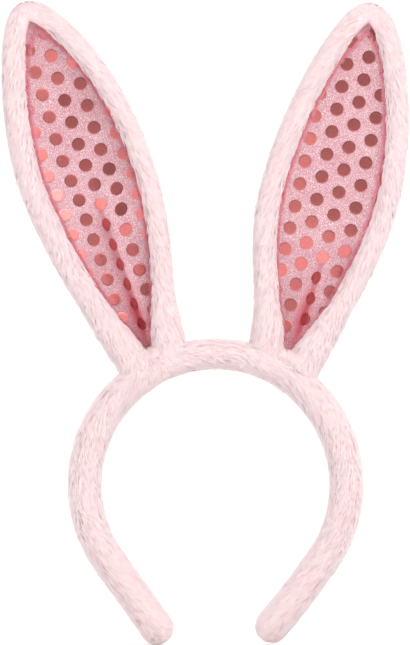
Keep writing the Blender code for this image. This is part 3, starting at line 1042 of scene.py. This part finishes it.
# %% Model one lock
LOCK_MIDDLE = 0.42
LOCK_SWELLS = 1.7
bpy.ops.object.select_all(action="DESELECT")
bpy.ops.mesh.primitive_cone_add(vertices=3, radius1=0.5, radius2=0, depth=1, location=(0, 0, 0.5))
lock = bpy.context.active_object
apply_place(lock)
bpy.ops.object.mode_set(mode="EDIT")
bpy.ops.mesh.select_all(action="SELECT")
bpy.ops.mesh.bisect(plane_co=(0, 0, LOCK_MIDDLE), plane_no=(0, 0, 1))
select_where(lock, lambda vertex: 0.3 < vertex.co.z < 0.6)
bpy.ops.transform.resize(value=(LOCK_SWELLS, LOCK_SWELLS, 1), center_override=(0, 0, LOCK_MIDDLE))
bpy.ops.mesh.select_all(action="SELECT")
bpy.ops.mesh.normals_make_consistent(inside=False)
bpy.ops.object.mode_set(mode="OBJECT")
print(f"a lock has {len(lock.data.vertices)} points and {len(lock.data.polygons)} faces")


# %% [markdown]
# ## Skins to stand on and to follow
#
# Each lock needs a place on a skin, the way outwards there, and the skin's shape along its length, or its
# tip would stick out where the skin curves away. `Surface` keeps the triangles of some skins and answers
# all three questions. Skins that were cut in two are joined in it again, so the pile runs over the cut.


# %% Find places on a skin
def open_faces(mesh):
    """The triangles of a skin without its flat end caps, which are the only faces of many sides."""
    mesh.calc_loop_triangles()
    corners = np.zeros(len(mesh.loop_triangles) * 3, np.int64)
    mesh.loop_triangles.foreach_get("vertices", corners)
    owner = np.zeros(len(mesh.loop_triangles), np.int64)
    mesh.loop_triangles.foreach_get("polygon_index", owner)
    sides = np.zeros(len(mesh.polygons), np.int64)
    mesh.polygons.foreach_get("loop_total", sides)
    return corners.reshape(-1, 3)[sides[owner] <= 4]


class Surface:
    """The outside of some skins together, to find places on it and to follow it, in millimetres."""

    def __init__(self, *skins):
        rows, corners, count = [], [], 0
        for skin in skins:
            rows.append(points_of(skin.data) / MM)
            corners.append(open_faces(skin.data) + count)
            count += len(rows[-1])
        self.points = np.concatenate(rows)
        self.corners = np.concatenate(corners)
        # An operator may return the same faces in another order from one run to the next, and the draws below
        # pick faces by number. So the faces are sorted by their place first, and every run grows the same pile.
        order = self.points[self.corners].reshape(-1, 9).round(3)
        self.corners = self.corners[np.lexsort(order.T[::-1])]
        a, b, c = self.points[self.corners].transpose(1, 0, 2)
        facing = np.cross(b - a, c - a)
        self.areas = np.linalg.norm(facing, axis=1) / 2
        same = np.unique(self.points.round(2), axis=0, return_inverse=True)[1].reshape(-1)
        sums = np.zeros((same.max() + 1, 3))
        for corner in range(3):
            np.add.at(sums, same[self.corners[:, corner]], facing)
        self.normals = unit(sums)[same]
        self.tree = BVHTree.FromPolygons(self.points.tolist(), self.corners.tolist())

    def mix(self, values, faces, weights):
        """The values at the corners of some faces, mixed by weights."""
        return (values[self.corners[faces]] * weights[:, :, None]).sum(1)

    def scatter(self, per_square_mm, random):
        """Random places on it, evenly spread: rows of place and of outward normal."""
        count = int(self.areas.sum() * per_square_mm)
        faces = random.choice(len(self.areas), count, p=self.areas / self.areas.sum())
        one, two = random.random(count), random.random(count)
        fold = one + two > 1
        one[fold], two[fold] = 1 - one[fold], 1 - two[fold]
        weights = np.stack([1 - one - two, one, two], 1)
        return self.mix(self.points, faces, weights), unit(self.mix(self.normals, faces, weights))

    def nearest(self, places):
        """The nearest place on it to each of some places, and the normal there."""
        found = [self.tree.find_nearest(Vector(place)) for place in places]
        where = np.array([hit[0] for hit in found])
        faces = np.array([hit[2] for hit in found])
        a, b, c = self.points[self.corners[faces]].transpose(1, 0, 2)
        pairs = ((b, c), (c, a), (a, b))
        parts = [np.cross(one - where, two - where) for one, two in pairs]
        weights = np.stack([np.linalg.norm(part, axis=1) for part in parts], 1)
        weights /= weights.sum(1)[:, None]
        return where, unit(self.mix(self.normals, faces, weights))


def waves(points, length, seed):
    """A slow random number from -1 to 1 for each place, which changes over about this length in mm."""
    shift = Vector((seed * 17.3, seed * 5.1, seed * 9.7))
    return np.array([noise.noise(Vector(point) / length + shift) for point in points])


# %% Bend the locks to a skin
# A lock's size in millimetres, how many stand on a square millimetre, how deep their roots are sunk, and
# how much their shading follows the lock instead of the skin: the less it does, the softer the plush
# looks.
LOCK_LENGTH = 6.0
LOCK_WIDTH = 0.6
LOCK_RISE = 1.3
LOCKS_PER_MM2 = 1.8
LOCK_ROUND = 0.35
LOCK_SUNK = 0.4


def lay_out_cells(obj, count):
    """Gives each lock its own small cell of the flat layout: across the lock and from root to tip."""
    side = math.ceil(math.sqrt(count))
    corner = np.zeros(len(lock.data.loops), np.int64)
    lock.data.loops.foreach_get("vertex_index", corner)
    x, y, z = points_of(lock.data)[corner].T
    across = 0.5 + 0.42 * np.clip(x / 0.6, -1, 1)
    up = 0.06 + 0.88 * z
    cells = np.arange(count)
    u = (cells % side)[:, None] + across
    v = (cells // side)[:, None] + up
    layer = obj.data.uv_layers.new(name="OFBake")
    layer.data.foreach_set("uv", (np.stack([u, v], 2) / side).astype(np.float32).ravel())


def bend_locks(name, place, normal, way, long, high, wide, over=None):
    """Copies of the lock, one at each place, laid along way. With over they follow that surface."""
    x, y, z = points_of(lock.data).T
    rings = [(place, normal, way)]
    for share in (LOCK_MIDDLE, 1 - LOCK_MIDDLE):
        place = place + way * (long * share)[:, None]
        if over:
            place, normal = over.nearest(place)
            way = unit(way - normal * (way * normal).sum(1)[:, None])
        rings.append((place, normal, way))
    ring = np.digitize(z, (LOCK_MIDDLE / 2, (1 + LOCK_MIDDLE) / 2))
    place, normal, way = (np.array(rows)[ring].transpose(1, 0, 2) for rows in zip(*rings))
    sideways = np.cross(normal, way)
    lift = np.where(z > 0.1, 1 - (1 - z) ** 2, 0)
    rise = high[:, None] * lift - np.where(z > 0.1, 0, LOCK_SUNK) + 0.55 * wide[:, None] * y
    spots = place + sideways * (wide[:, None] * x)[:, :, None] + normal * rise[:, :, None]
    made = mesh_of_copies(name, lock.data, spots)
    soft = normal * (1 + LOCK_ROUND * y / 0.5)[:, None] + sideways * (LOCK_ROUND * x / 0.5)[:, None]
    made.data.normals_split_custom_set_from_vertices(unit(soft.reshape(-1, 3)))
    store(made, "pile_height", np.tile(z, len(spots)))
    lay_out_cells(made, len(spots))
    return made


# %% Grow pile on a skin
# Shares by which a lock differs from the next: its way and clumps as slow waves, and the rest at random.
WAVE_LENGTH = 5.0
WAVE_TURN = 0.34
CLUMP_LENGTH = 2.2


def grow(name, skin, over, nap, keep=None, seed=1):
    """Pile on a skin that is part of the surface `over`.

    nap gives the way and the size of the locks at each place, and keep says which roots stay.
    """
    random = np.random.default_rng(seed)
    place, normal = Surface(skin).scatter(LOCKS_PER_MM2, random)
    if keep is not None:
        chosen = keep(place, normal)
        place, normal = place[chosen], normal[chosen]
    count = len(place)
    way = nap(place, normal)
    size = np.linalg.norm(way, axis=1)
    swirl = unit(np.cross(normal, way))
    turned = (WAVE_TURN * waves(place, WAVE_LENGTH, seed))[:, None]
    way = way + swirl * turned + swirl * random.normal(0, 0.10, count)[:, None]
    way = unit(way - normal * (way * normal).sum(1)[:, None])
    clump = waves(place, CLUMP_LENGTH, seed + 3)
    long = LOCK_LENGTH * size * (1 + 0.18 * clump + random.normal(0, 0.10, count))
    high = LOCK_RISE * size * (1 + 0.30 * clump + random.normal(0, 0.16, count))
    wide = LOCK_WIDTH * (1 + random.normal(0, 0.18, count))
    made = bend_locks(name, place, normal, way, long, high, wide, over)
    # The clump waves also set how high the locks stand, so lower clumps get a deeper pink: painted shade, plus
    # a random tone per lock.
    tone_and_shade = 0.5 + 0.5 * clump + random.normal(0, 0.16, count)
    store(made, "pile_tone_and_shade", np.repeat(tone_and_shade, len(lock.data.vertices)))
    return made


# %% [markdown]
# ## Which way the pile lies
#
# The nap of the band runs from the left ear over the crown and down both ends, and it slants a little to
# the inner face. The nap of an ear runs from its tip down to its foot, and on the rolls it slants to the
# outside. The nap gives the plush its streaks, so it matters as much as the colour.

# %% The nap of the band
# The nap parts at the left ear, within this run in millimetres, and slants by this share of its length.
NAP_PART = math.atan2(hinge["left_ear_tilt"].x, hinge["left_ear_tilt"].z - ARC_Z)
NAP_PART_RUN = 14.0
BAND_SLANT = 0.38
PART_SLANT = 0.6


def band_nap(place, normal):
    """Along the band and away from the left ear, slanting to the inner face."""
    angle = np.arctan2(place[:, 0], place[:, 2] - ARC_Z)
    part = np.clip((angle - NAP_PART) * ARC_RADIUS / NAP_PART_RUN, -1, 1)
    angle = np.clip(angle, -ARC_END, ARC_END)
    nothing = np.zeros(len(place))
    along = np.stack([np.cos(angle), nothing, -np.sin(angle)], 1) * part[:, None]
    inwards = -np.stack([np.sin(angle), nothing, np.cos(angle)], 1)
    way = along + inwards * (BAND_SLANT + PART_SLANT * (1 - part**2))[:, None]
    return unit(way - normal * (way * normal).sum(1)[:, None])


# %% The nap of the ears
# Over the last of the tip the pile is combed to the front, and is shorter.
RIM_SLANT = 0.36
TIP_RUN = 20
TIP_COMB = 7.0
TIP_SHORTER = 0.4


def rim_nap(side):
    """Down along the roll, slanting to the outside of the ear."""
    line = rim_line(side, 30)
    tangent = unit(np.gradient(line, axis=0))
    tangent = np.where(tangent[:, 1:] > 0, -tangent, tangent)
    turn = np.array(EAR[side])[:3, :3]

    def nap(place, normal):
        u, _, t = ear_places(side, place).T
        nearest = np.argmin((line[:, 0] - u[:, None]) ** 2 + (line[:, 1] - t[:, None]) ** 2, axis=1)
        along = tangent[nearest]
        edge = np.sign(u)
        out = np.stack([-along[:, 1] * edge, along[:, 0] * edge], 1)
        over = np.where(t > TIP_HEIGHT[side] - TIP_RUN, 1 - np.clip(np.abs(u) / TIP_COMB, 0, 1), 0)
        flat = along * (1 - over)[:, None] + out * (RIM_SLANT * (1 - over))[:, None]
        way = np.stack([flat[:, 0], -over, flat[:, 1] - 0.35 * over], 1) @ turn.T
        way = unit(way - normal * (way * normal).sum(1)[:, None])
        return way * (1 - TIP_SHORTER * over)[:, None]

    return nap


def down_nap(side):
    """Straight down the ear."""
    down = -np.array(EAR[side])[:3, 2]

    def nap(place, normal):
        way = np.tile(down, (len(place), 1))
        return unit(way - normal * (way * normal).sum(1)[:, None])

    return nap


# %% Where no pile grows
def off_lining(side):
    """Leaves out roots that are sunk in the band, face the lining, or lie against the pad."""

    def keep(place, normal):
        u, y, t = ear_places(side, place).T
        left, right = edges_at(side, np.clip(t, FOOT_RISE, TIP_HEIGHT[side]))
        inside = (u > left + 0.5) & (u < right - 0.5) & (t < TIP_HEIGHT[side] - 0.5)
        below = TIP_HEIGHT[side] - t
        under_tip = (np.abs(u) < 4.5) & (below > -0.5) & (below < 12) & (y < 0)
        on_band, band_normal = band.nearest(place)
        above_band = ((place - on_band) * band_normal).sum(1) > -2.5
        return ~(inside & (y > -1.2) & (y < 4.2)) & ~under_tip & above_band

    return keep


def on_back(place, normal):
    """Keeps the roots on the outer face of the pad."""
    return normal[:, 1] > 0.25


# %% [markdown]
# ## The frayed seam
#
# Where the lining is sewn under the roll, its raw edge frays, and a thin line of deeper pink threads
# shows all along the roll. They are the same locks, short and thin, set in a line where the roll meets
# the lining. Locks do better here than a swept cord would, because the real line is ragged.

# %% Fray the seam
FRAY_PER_MM = 8.0
FRAY_LENGTH = 2.1
FRAY_WIDTH = 0.42
FRAY_FOOT = 7.0
FRAY_TIP = 9.0
FRAY_BESIDE = 1.5
FRAY_ABOVE = 0.6


def fray(side, part, low, high, seed):
    """Threads along both edges of the lining, between two heights."""
    random = np.random.default_rng(seed)
    places, ways = [], []
    turn = np.array(EAR[side])[:3, :3]
    for edge, sign in ((OUTER_EDGE[side], SIDES[side]), (INNER_EDGE[side], -SIDES[side])):
        count = int((high - low) * FRAY_PER_MM)
        t = random.uniform(low, high, count)
        left, right = edges_at(side, t)
        roll = edge.roll + (FOOT_ROLL - edge.roll) * smooth((26 - t) / 20)
        tip_shift = roll * 0.6 * smooth((t - TIP_HEIGHT[side] + 30) / 25)
        inside = roll + FRAY_BESIDE + tip_shift + random.normal(0, 0.25, count)
        u = (right if sign > 0 else left) - sign * inside
        y = lining_depth(side, u, t) - FRAY_ABOVE
        places.append(np.stack([u, y, t], 1))
        across = -sign * random.uniform(0.0, 0.7, count)
        along = random.uniform(-1.2, 0.9, count)
        ways.append(unit(np.stack([across, np.full(count, -0.25), along], 1)))
    place = np.concatenate(places) @ turn.T + np.array(EAR[side])[:3, 3]
    way = np.concatenate(ways) @ turn.T
    normal = np.tile((0.0, -1.0, 0.0), (len(place), 1))
    way = unit(way - normal * (way * normal).sum(1)[:, None])
    long = FRAY_LENGTH * random.uniform(0.6, 1.2, len(place))
    high_up = random.uniform(0.2, 0.7, len(place))
    wide = FRAY_WIDTH * random.uniform(0.7, 1.3, len(place))
    return bend_locks(f"{side}_fray_{part}", place, normal, way, long, high_up, wide)


# %% Grow the pile
piles = {}
band = Surface(*bands["left"], *bands["right"])
for number, side in enumerate(SIDES):
    crown_skin, arm_skin = bands[side]
    rim_low, rim_top = rims[side]
    back_low, back_top = backs[side]
    seed = 10 * number + 1
    rim = Surface(rim_low, rim_top)
    back = Surface(back_low, back_top)
    root = Surface(roots[side])
    by_rim, by_back, off = rim_nap(side), down_nap(side), off_lining(side)
    piles[side] = {
        "crown": grow(f"{side}_crown_pile", crown_skin, band, band_nap, seed=seed),
        "arm": grow(f"{side}_arm_pile", arm_skin, band, band_nap, seed=seed + 1),
        "root": grow(f"{side}_root_pile", roots[side], root, by_back, seed=seed + 2),
        "rim_low": grow(f"{side}_rim_low_pile", rim_low, rim, by_rim, off, seed=seed + 3),
        "rim_top": grow(f"{side}_rim_top_pile", rim_top, rim, by_rim, off, seed=seed + 4),
        "back_low": grow(f"{side}_back_low_pile", back_low, back, by_back, on_back, seed=seed + 5),
        "back_top": grow(f"{side}_back_top_pile", back_top, back, by_back, on_back, seed=seed + 6),
    }
    for pile in piles[side].values():
        locks = len(pile.data.vertices) // len(lock.data.vertices)
        print(f"{pile.name}: {locks} locks")

# %% Fray both ears
frays = {}
for number, side in enumerate(SIDES):
    top = TIP_HEIGHT[side] - FRAY_TIP
    frays[side] = [
        fray(side, "low", FRAY_FOOT, EAR_SPLIT, 50 + number),
        fray(side, "top", EAR_SPLIT, top, 60 + number),
    ]
    report(*frays[side])
bpy.data.objects.remove(lock)

# %% [markdown]
# ## Materials
#
# Each material starts from what the real one is and how its surface was made. Its patterns read the
# piece's own coordinates or the numbers kept on its points, so they stay on the cloth when it bends.
# Noise and cell textures repeat about once per 1 / Scale metres, so a scale is written as 1000 over a
# size in millimetres.


# %% Make a material
def new_material(name, roughness, metallic=0.0):
    """A node material with its Principled shader, and the tree to add to."""
    made = bpy.data.materials.new(name)
    made.use_nodes = True
    shader = made.node_tree.nodes["Principled BSDF"]
    shader.inputs["Roughness"].default_value = roughness
    shader.inputs["Metallic"].default_value = metallic
    print(f"{name}: roughness {roughness}")
    return made, made.node_tree, shader


# %% [markdown]
# ### Plush pile
#
# Polyester pile, knitted, cut and brushed. The plush is painted a deeper pink down at the roots and nearly
# white at the tips: painted shade, for the light that the hairs block from one another, since the locks cast
# no shadow. A fine sheen stands for the many hair ends. Two numbers on each lock's points give the height and
# a tint, so neighbouring locks differ a little. The tint follows the clumps, and the lower clumps get a deeper
# pink as painted shade.

# %% Plush pile
plush, tree, shader = new_material("brushed_polyester_plush_pile", 0.7)
height = add_node(tree, "ShaderNodeAttribute", attribute_name="pile_height").outputs["Fac"]
tone_and_shade = add_node(tree, "ShaderNodeAttribute", attribute_name="pile_tone_and_shade").outputs["Fac"]
# Painted shade: a deeper pink at the roots and nearly white at the tips, for the light that the locks block
# from one another.
root_shade_ramp = add_node(
    tree,
    "ShaderNodeValToRGB",
    {"Fac": height},
    stops=[(0.0, "EBC5C8"), (0.35, "F2D7D9"), (1.0, "F7E9E9")],
)
# Partly painted shade of the lower clumps, partly random tone from lock to lock.
tone_and_shade_ramp = add_node(
    tree,
    "ShaderNodeValToRGB",
    {"Fac": tone_and_shade},
    stops=[(0.0, "FBE3E4"), (0.55, "FFFFFF"), (1.0, "FFFFFF")],
)
pile_colour = add_node(
    tree,
    "ShaderNodeMix",
    {0: 0.55, 6: root_shade_ramp.outputs["Color"], 7: tone_and_shade_ramp.outputs["Color"]},
    data_type="RGBA",
    blend_type="MULTIPLY",
)
tree.links.new(pile_colour.outputs[2], shader.inputs["Base Color"])
shader.inputs["Sheen Weight"].default_value = 0.25
shader.inputs["Sheen Roughness"].default_value = 0.5

# %% [markdown]
# ### Frayed threads
#
# The lining's yarn, dyed through and loose at the cut edge: a deeper pink than the finished face, and
# lighter at the ends, where it is thin. A noise a few millimetres wide makes some threads darker than
# others.

# %% Frayed threads of the seam
fray_thread, tree, shader = new_material("frayed_polyester_thread", 0.6)
height = add_node(tree, "ShaderNodeAttribute", attribute_name="pile_height").outputs["Fac"]
place = add_node(tree, "ShaderNodeTexCoord").outputs["Object"]
dye = add_node(tree, "ShaderNodeTexNoise", {"Vector": place, "Scale": 1000 / 3.0})
thread_colour = add_node(
    tree,
    "ShaderNodeValToRGB",
    {"Fac": dye.outputs["Fac"]},
    stops=[(0.3, "C84D60"), (0.5, "D66A7B"), (0.7, "E68F9D")],
)
lighter = add_node(
    tree,
    "ShaderNodeMix",
    {0: height, 6: thread_colour.outputs["Color"], 7: srgb("E59AA6")},
    data_type="RGBA",
)
tree.links.new(lighter.outputs[2], shader.inputs["Base Color"])

# %% [markdown]
# ### Knitted backing of the plush
#
# The ground that the pile is knitted in. Only its colour shows, between the locks, so it needs no loops in
# relief: a fine noise of two near pinks is enough.

# %% Knitted backing of the plush
backing, tree, shader = new_material("knitted_plush_backing", 0.85)
place = add_node(tree, "ShaderNodeTexCoord").outputs["Object"]
loops = add_node(tree, "ShaderNodeTexNoise", {"Vector": place, "Scale": 900.0, "Detail": 2.0})
ground = add_node(
    tree, "ShaderNodeValToRGB", {"Fac": loops.outputs["Fac"]}, stops=[(0.3, "EBC9CC"), (0.7, "F3DADC")]
)
tree.links.new(ground.outputs["Color"], shader.inputs["Base Color"])

# %% [markdown]
# ### Glittery knit
#
# A polyester warp knit with glitter in its finish. Its loops show as a crinkle of darker lines about a
# millimetre apart, and the glints of the glitter are painted in as white specks: painted highlights. A cell
# texture gives both: the distance to a cell's edge draws the lines, and the cell's random colour picks the few
# that get a painted glint. Along the seam and down in the crease the knit is painted a deeper pink, as painted
# shade, as two numbers kept on its points tell.

# %% The knit's pattern
# Sizes in millimetres of the crinkle, the painted glints, the wobble of the lines and the cloudy patches.
CRINKLE = 0.85
PAINTED_GLINT_SIZE = 0.6
WOBBLE = 2.4
CLOUDS = 14.0
knit, tree, shader = new_material("glitter_warp_knit", 0.5)
place = add_node(tree, "ShaderNodeTexCoord").outputs["Object"]
wobble = add_node(tree, "ShaderNodeTexNoise", {"Vector": place, "Scale": 1000 / WOBBLE, "Detail": 1.0})
bent = add_node(
    tree,
    "ShaderNodeVectorMath",
    {0: wobble.outputs["Color"], 1: (0.0012, 0.0, 0.0012), 2: place},
    operation="MULTIPLY_ADD",
)
turned = add_node(
    tree,
    "ShaderNodeMapping",
    {"Vector": bent.outputs["Vector"], "Rotation": (0.0, math.radians(40), 0.0), "Scale": (1.0, 1.0, 0.7)},
)
loops = add_node(
    tree,
    "ShaderNodeTexVoronoi",
    {"Vector": turned.outputs["Vector"], "Scale": 1000 / CRINKLE},
    feature="DISTANCE_TO_EDGE",
)
glints = add_node(tree, "ShaderNodeTexVoronoi", {"Vector": place, "Scale": 1000 / PAINTED_GLINT_SIZE})
patches = add_node(tree, "ShaderNodeTexNoise", {"Vector": place, "Scale": 1000 / CLOUDS, "Detail": 2.0})

# %% The knit's colours
crinkle = add_node(
    tree,
    "ShaderNodeValToRGB",
    {"Fac": loops.outputs["Distance"]},
    stops=[(0.0, "C18690"), (0.16, "D9B0B7"), (0.42, "EBD5D8")],
)
# White specks painted into the knit's colour: painted glints of the glitter.
painted_glint = add_node(
    tree,
    "ShaderNodeValToRGB",
    {"Fac": glints.outputs["Color"]},
    stops=[(0.0, "000000"), (0.9, "000000"), (0.97, "FFFFFF")],
)
cloud = add_node(
    tree, "ShaderNodeValToRGB", {"Fac": patches.outputs["Fac"]}, stops=[(0.3, "E6BFC8"), (0.7, "FFFFFF")]
)
knit_with_painted_glints = add_node(
    tree,
    "ShaderNodeMix",
    {0: painted_glint.outputs["Color"], 6: crinkle.outputs["Color"], 7: srgb("FBE3E6")},
    data_type="RGBA",
)
painted_rim_shade = add_node(tree, "ShaderNodeAttribute", attribute_name="painted_rim_shade").outputs["Fac"]
painted_crease_shade = add_node(tree, "ShaderNodeAttribute", attribute_name="painted_crease_shade").outputs["Fac"]
by_rim = add_node(tree, "ShaderNodeMapRange", {"Value": painted_rim_shade, "From Min": 0.05, "From Max": 0.6})
# Painted shade: the knit turns a deeper pink along the seam under the roll.
rim_shaded = add_node(
    tree,
    "ShaderNodeMix",
    {0: by_rim.outputs["Result"], 6: knit_with_painted_glints.outputs[2], 7: srgb("D498A2")},
    data_type="RGBA",
)
# Painted shade: the knit turns deep red down in the crease.
crease_shaded = add_node(
    tree,
    "ShaderNodeMix",
    {0: painted_crease_shade, 6: rim_shaded.outputs[2], 7: srgb("CF5C6C")},
    data_type="RGBA",
)
clouded = add_node(
    tree,
    "ShaderNodeMix",
    {0: 0.35, 6: crease_shaded.outputs[2], 7: cloud.outputs["Color"]},
    data_type="RGBA",
    blend_type="MULTIPLY",
)
tree.links.new(clouded.outputs[2], shader.inputs["Base Color"])
bump = add_node(
    tree, "ShaderNodeBump", {"Height": loops.outputs["Distance"], "Strength": 0.35, "Distance": 0.0002}
)
tree.links.new(bump.outputs["Normal"], shader.inputs["Normal"])

# %% [markdown]
# ### Foil
#
# Rose foil pressed hot on the knit: a metal mirror, dulled and faintly grained by the loops under it. It
# gets its light and dark from the studio, not from painted shades, so each dot changes as it is turned.

# %% Foil dots
FOIL_GRAIN = 0.45
foil, tree, shader = new_material("hot_pressed_rose_foil", 0.3, 1.0)
place = add_node(tree, "ShaderNodeTexCoord").outputs["Object"]
grain = add_node(
    tree,
    "ShaderNodeTexNoise",
    {"Vector": place, "Scale": 1000 / FOIL_GRAIN, "Detail": 2.0, "Roughness": 0.6},
)
foil_colour = add_node(
    tree,
    "ShaderNodeValToRGB",
    {"Fac": grain.outputs["Fac"]},
    stops=[(0.3, "CA6A69"), (0.5, "D27573"), (0.75, "DD8E8A")],
)
tree.links.new(foil_colour.outputs["Color"], shader.inputs["Base Color"])
bump = add_node(
    tree, "ShaderNodeBump", {"Height": grain.outputs["Fac"], "Strength": 0.12, "Distance": 0.0001}
)
tree.links.new(bump.outputs["Normal"], shader.inputs["Normal"])

# %% [markdown]
# ### The parts inside
#
# Hoop, padding, wire and tape are sewn in and never seen, but the model may be opened or cut. They keep
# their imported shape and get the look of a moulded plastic, cut foam, drawn wire and woven tape, from one
# table.

# %% Hidden parts: hoop, padding, wire and tape
HIDDEN = {
    # slot: (name, roughness, metallic, darker, lighter, grain in mm)
    "hoop_plastic": ("moulded_polypropylene", 0.45, 0.0, "DEDEDA", "E6E6E2", 2.0),
    "filling": ("cut_polyurethane_foam", 0.95, 0.0, "E4DFD2", "F2EFE6", 0.8),
    "wire": ("drawn_steel_wire", 0.35, 1.0, "9A9A9C", "B4B4B6", 0.4),
    "tape": ("woven_cotton_tape", 0.85, 0.0, "D6CFC2", "E6E0D4", 0.6),
}
hidden = {}
for slot, (name, roughness, metallic, darker, lighter, grain_mm) in HIDDEN.items():
    made, tree, shader = new_material(name, roughness, metallic)
    place = add_node(tree, "ShaderNodeTexCoord").outputs["Object"]
    grain = add_node(tree, "ShaderNodeTexNoise", {"Vector": place, "Scale": 1000 / grain_mm, "Detail": 3.0})
    colour = add_node(
        tree, "ShaderNodeValToRGB", {"Fac": grain.outputs["Fac"]}, stops=[(0.35, darker), (0.65, lighter)]
    )
    tree.links.new(colour.outputs["Color"], shader.inputs["Base Color"])
    hidden[slot] = made

KINDS = {
    "_hoop": "hoop_plastic",
    "_padding": "filling",
    "_wire": "wire",
    "_wire_tail": "wire",
    "_tape": "tape",
}
for name, node in frame["nodes"].items():
    for ending, slot in KINDS.items():
        if name.endswith(ending):
            node.data.materials.clear()
            node.data.materials.append(hidden[slot])


# %% Put the materials on
def dress(obj, made):
    """Gives a piece its material."""
    obj.data.materials.clear()
    obj.data.materials.append(made)


# The locks and the threads cast no shadow, because theirs would turn the plush grey between them.
for side in SIDES:
    for piece in (*bands[side], *rims[side], *backs[side], roots[side]):
        dress(piece, backing)
    for piece in piles[side].values():
        dress(piece, plush)
        piece.visible_shadow = False
    for piece in linings[side]:
        dress(piece, knit)
    for piece in dots[side]:
        dress(piece, foil)
    for piece in frays[side]:
        dress(piece, fray_thread)
        piece.visible_shadow = False
    print(f"{side} side dressed")

# %% [markdown]
# ## Fixing the looks in place
#
# A real skin bends where the hoop or the wire bends under it, over a short stretch at the foot of an ear and
# a longer one at its fold. The model bends at hinges. Here each skin and its pile only have their places baked
# into their meshes. The roots are sewn to the band and are attached to the shoulder's body, to ride on it.


for side, sign in SIDES.items():
    crown_skin, arm_skin = bands[side]
    for piece in (crown_skin, piles[side]["crown"]):
        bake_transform(piece)
    for piece in (arm_skin, piles[side]["arm"]):
        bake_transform(piece)
    print(f"{side} side of the band bends")


for side in SIDES:
    low, top = zip(rims[side], backs[side], linings[side], dots[side], frays[side])
    for piece in (*low, piles[side]["rim_low"], piles[side]["back_low"]):
        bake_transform(piece)
    for piece in (*top, piles[side]["rim_top"], piles[side]["back_top"]):
        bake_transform(piece)
    for piece in (roots[side], piles[side]["root"]):
        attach(piece, side + "_shoulder")

# %% Hide the imported solids that the skins stand for
for side in SIDES:
    crown_skin, arm_skin = bands[side]
    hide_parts("crown_sleeve", side + "_shoulder_sleeve")
    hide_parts(side + "_arm_sleeve")
    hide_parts(side + "_ear_gather", side + "_gather_thread")
    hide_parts(side + "_ear_outer_rim", side + "_ear_inner_rim")
    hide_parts(side + "_ear_top_rim")
    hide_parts(side + "_ear_lining")
    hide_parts(side + "_ear_top_lining")
    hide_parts(side + "_ear_back", side + "_ear_wadding")
    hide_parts(side + "_ear_top_back", side + "_ear_top_wadding")
    print(f"{side} solids replaced")
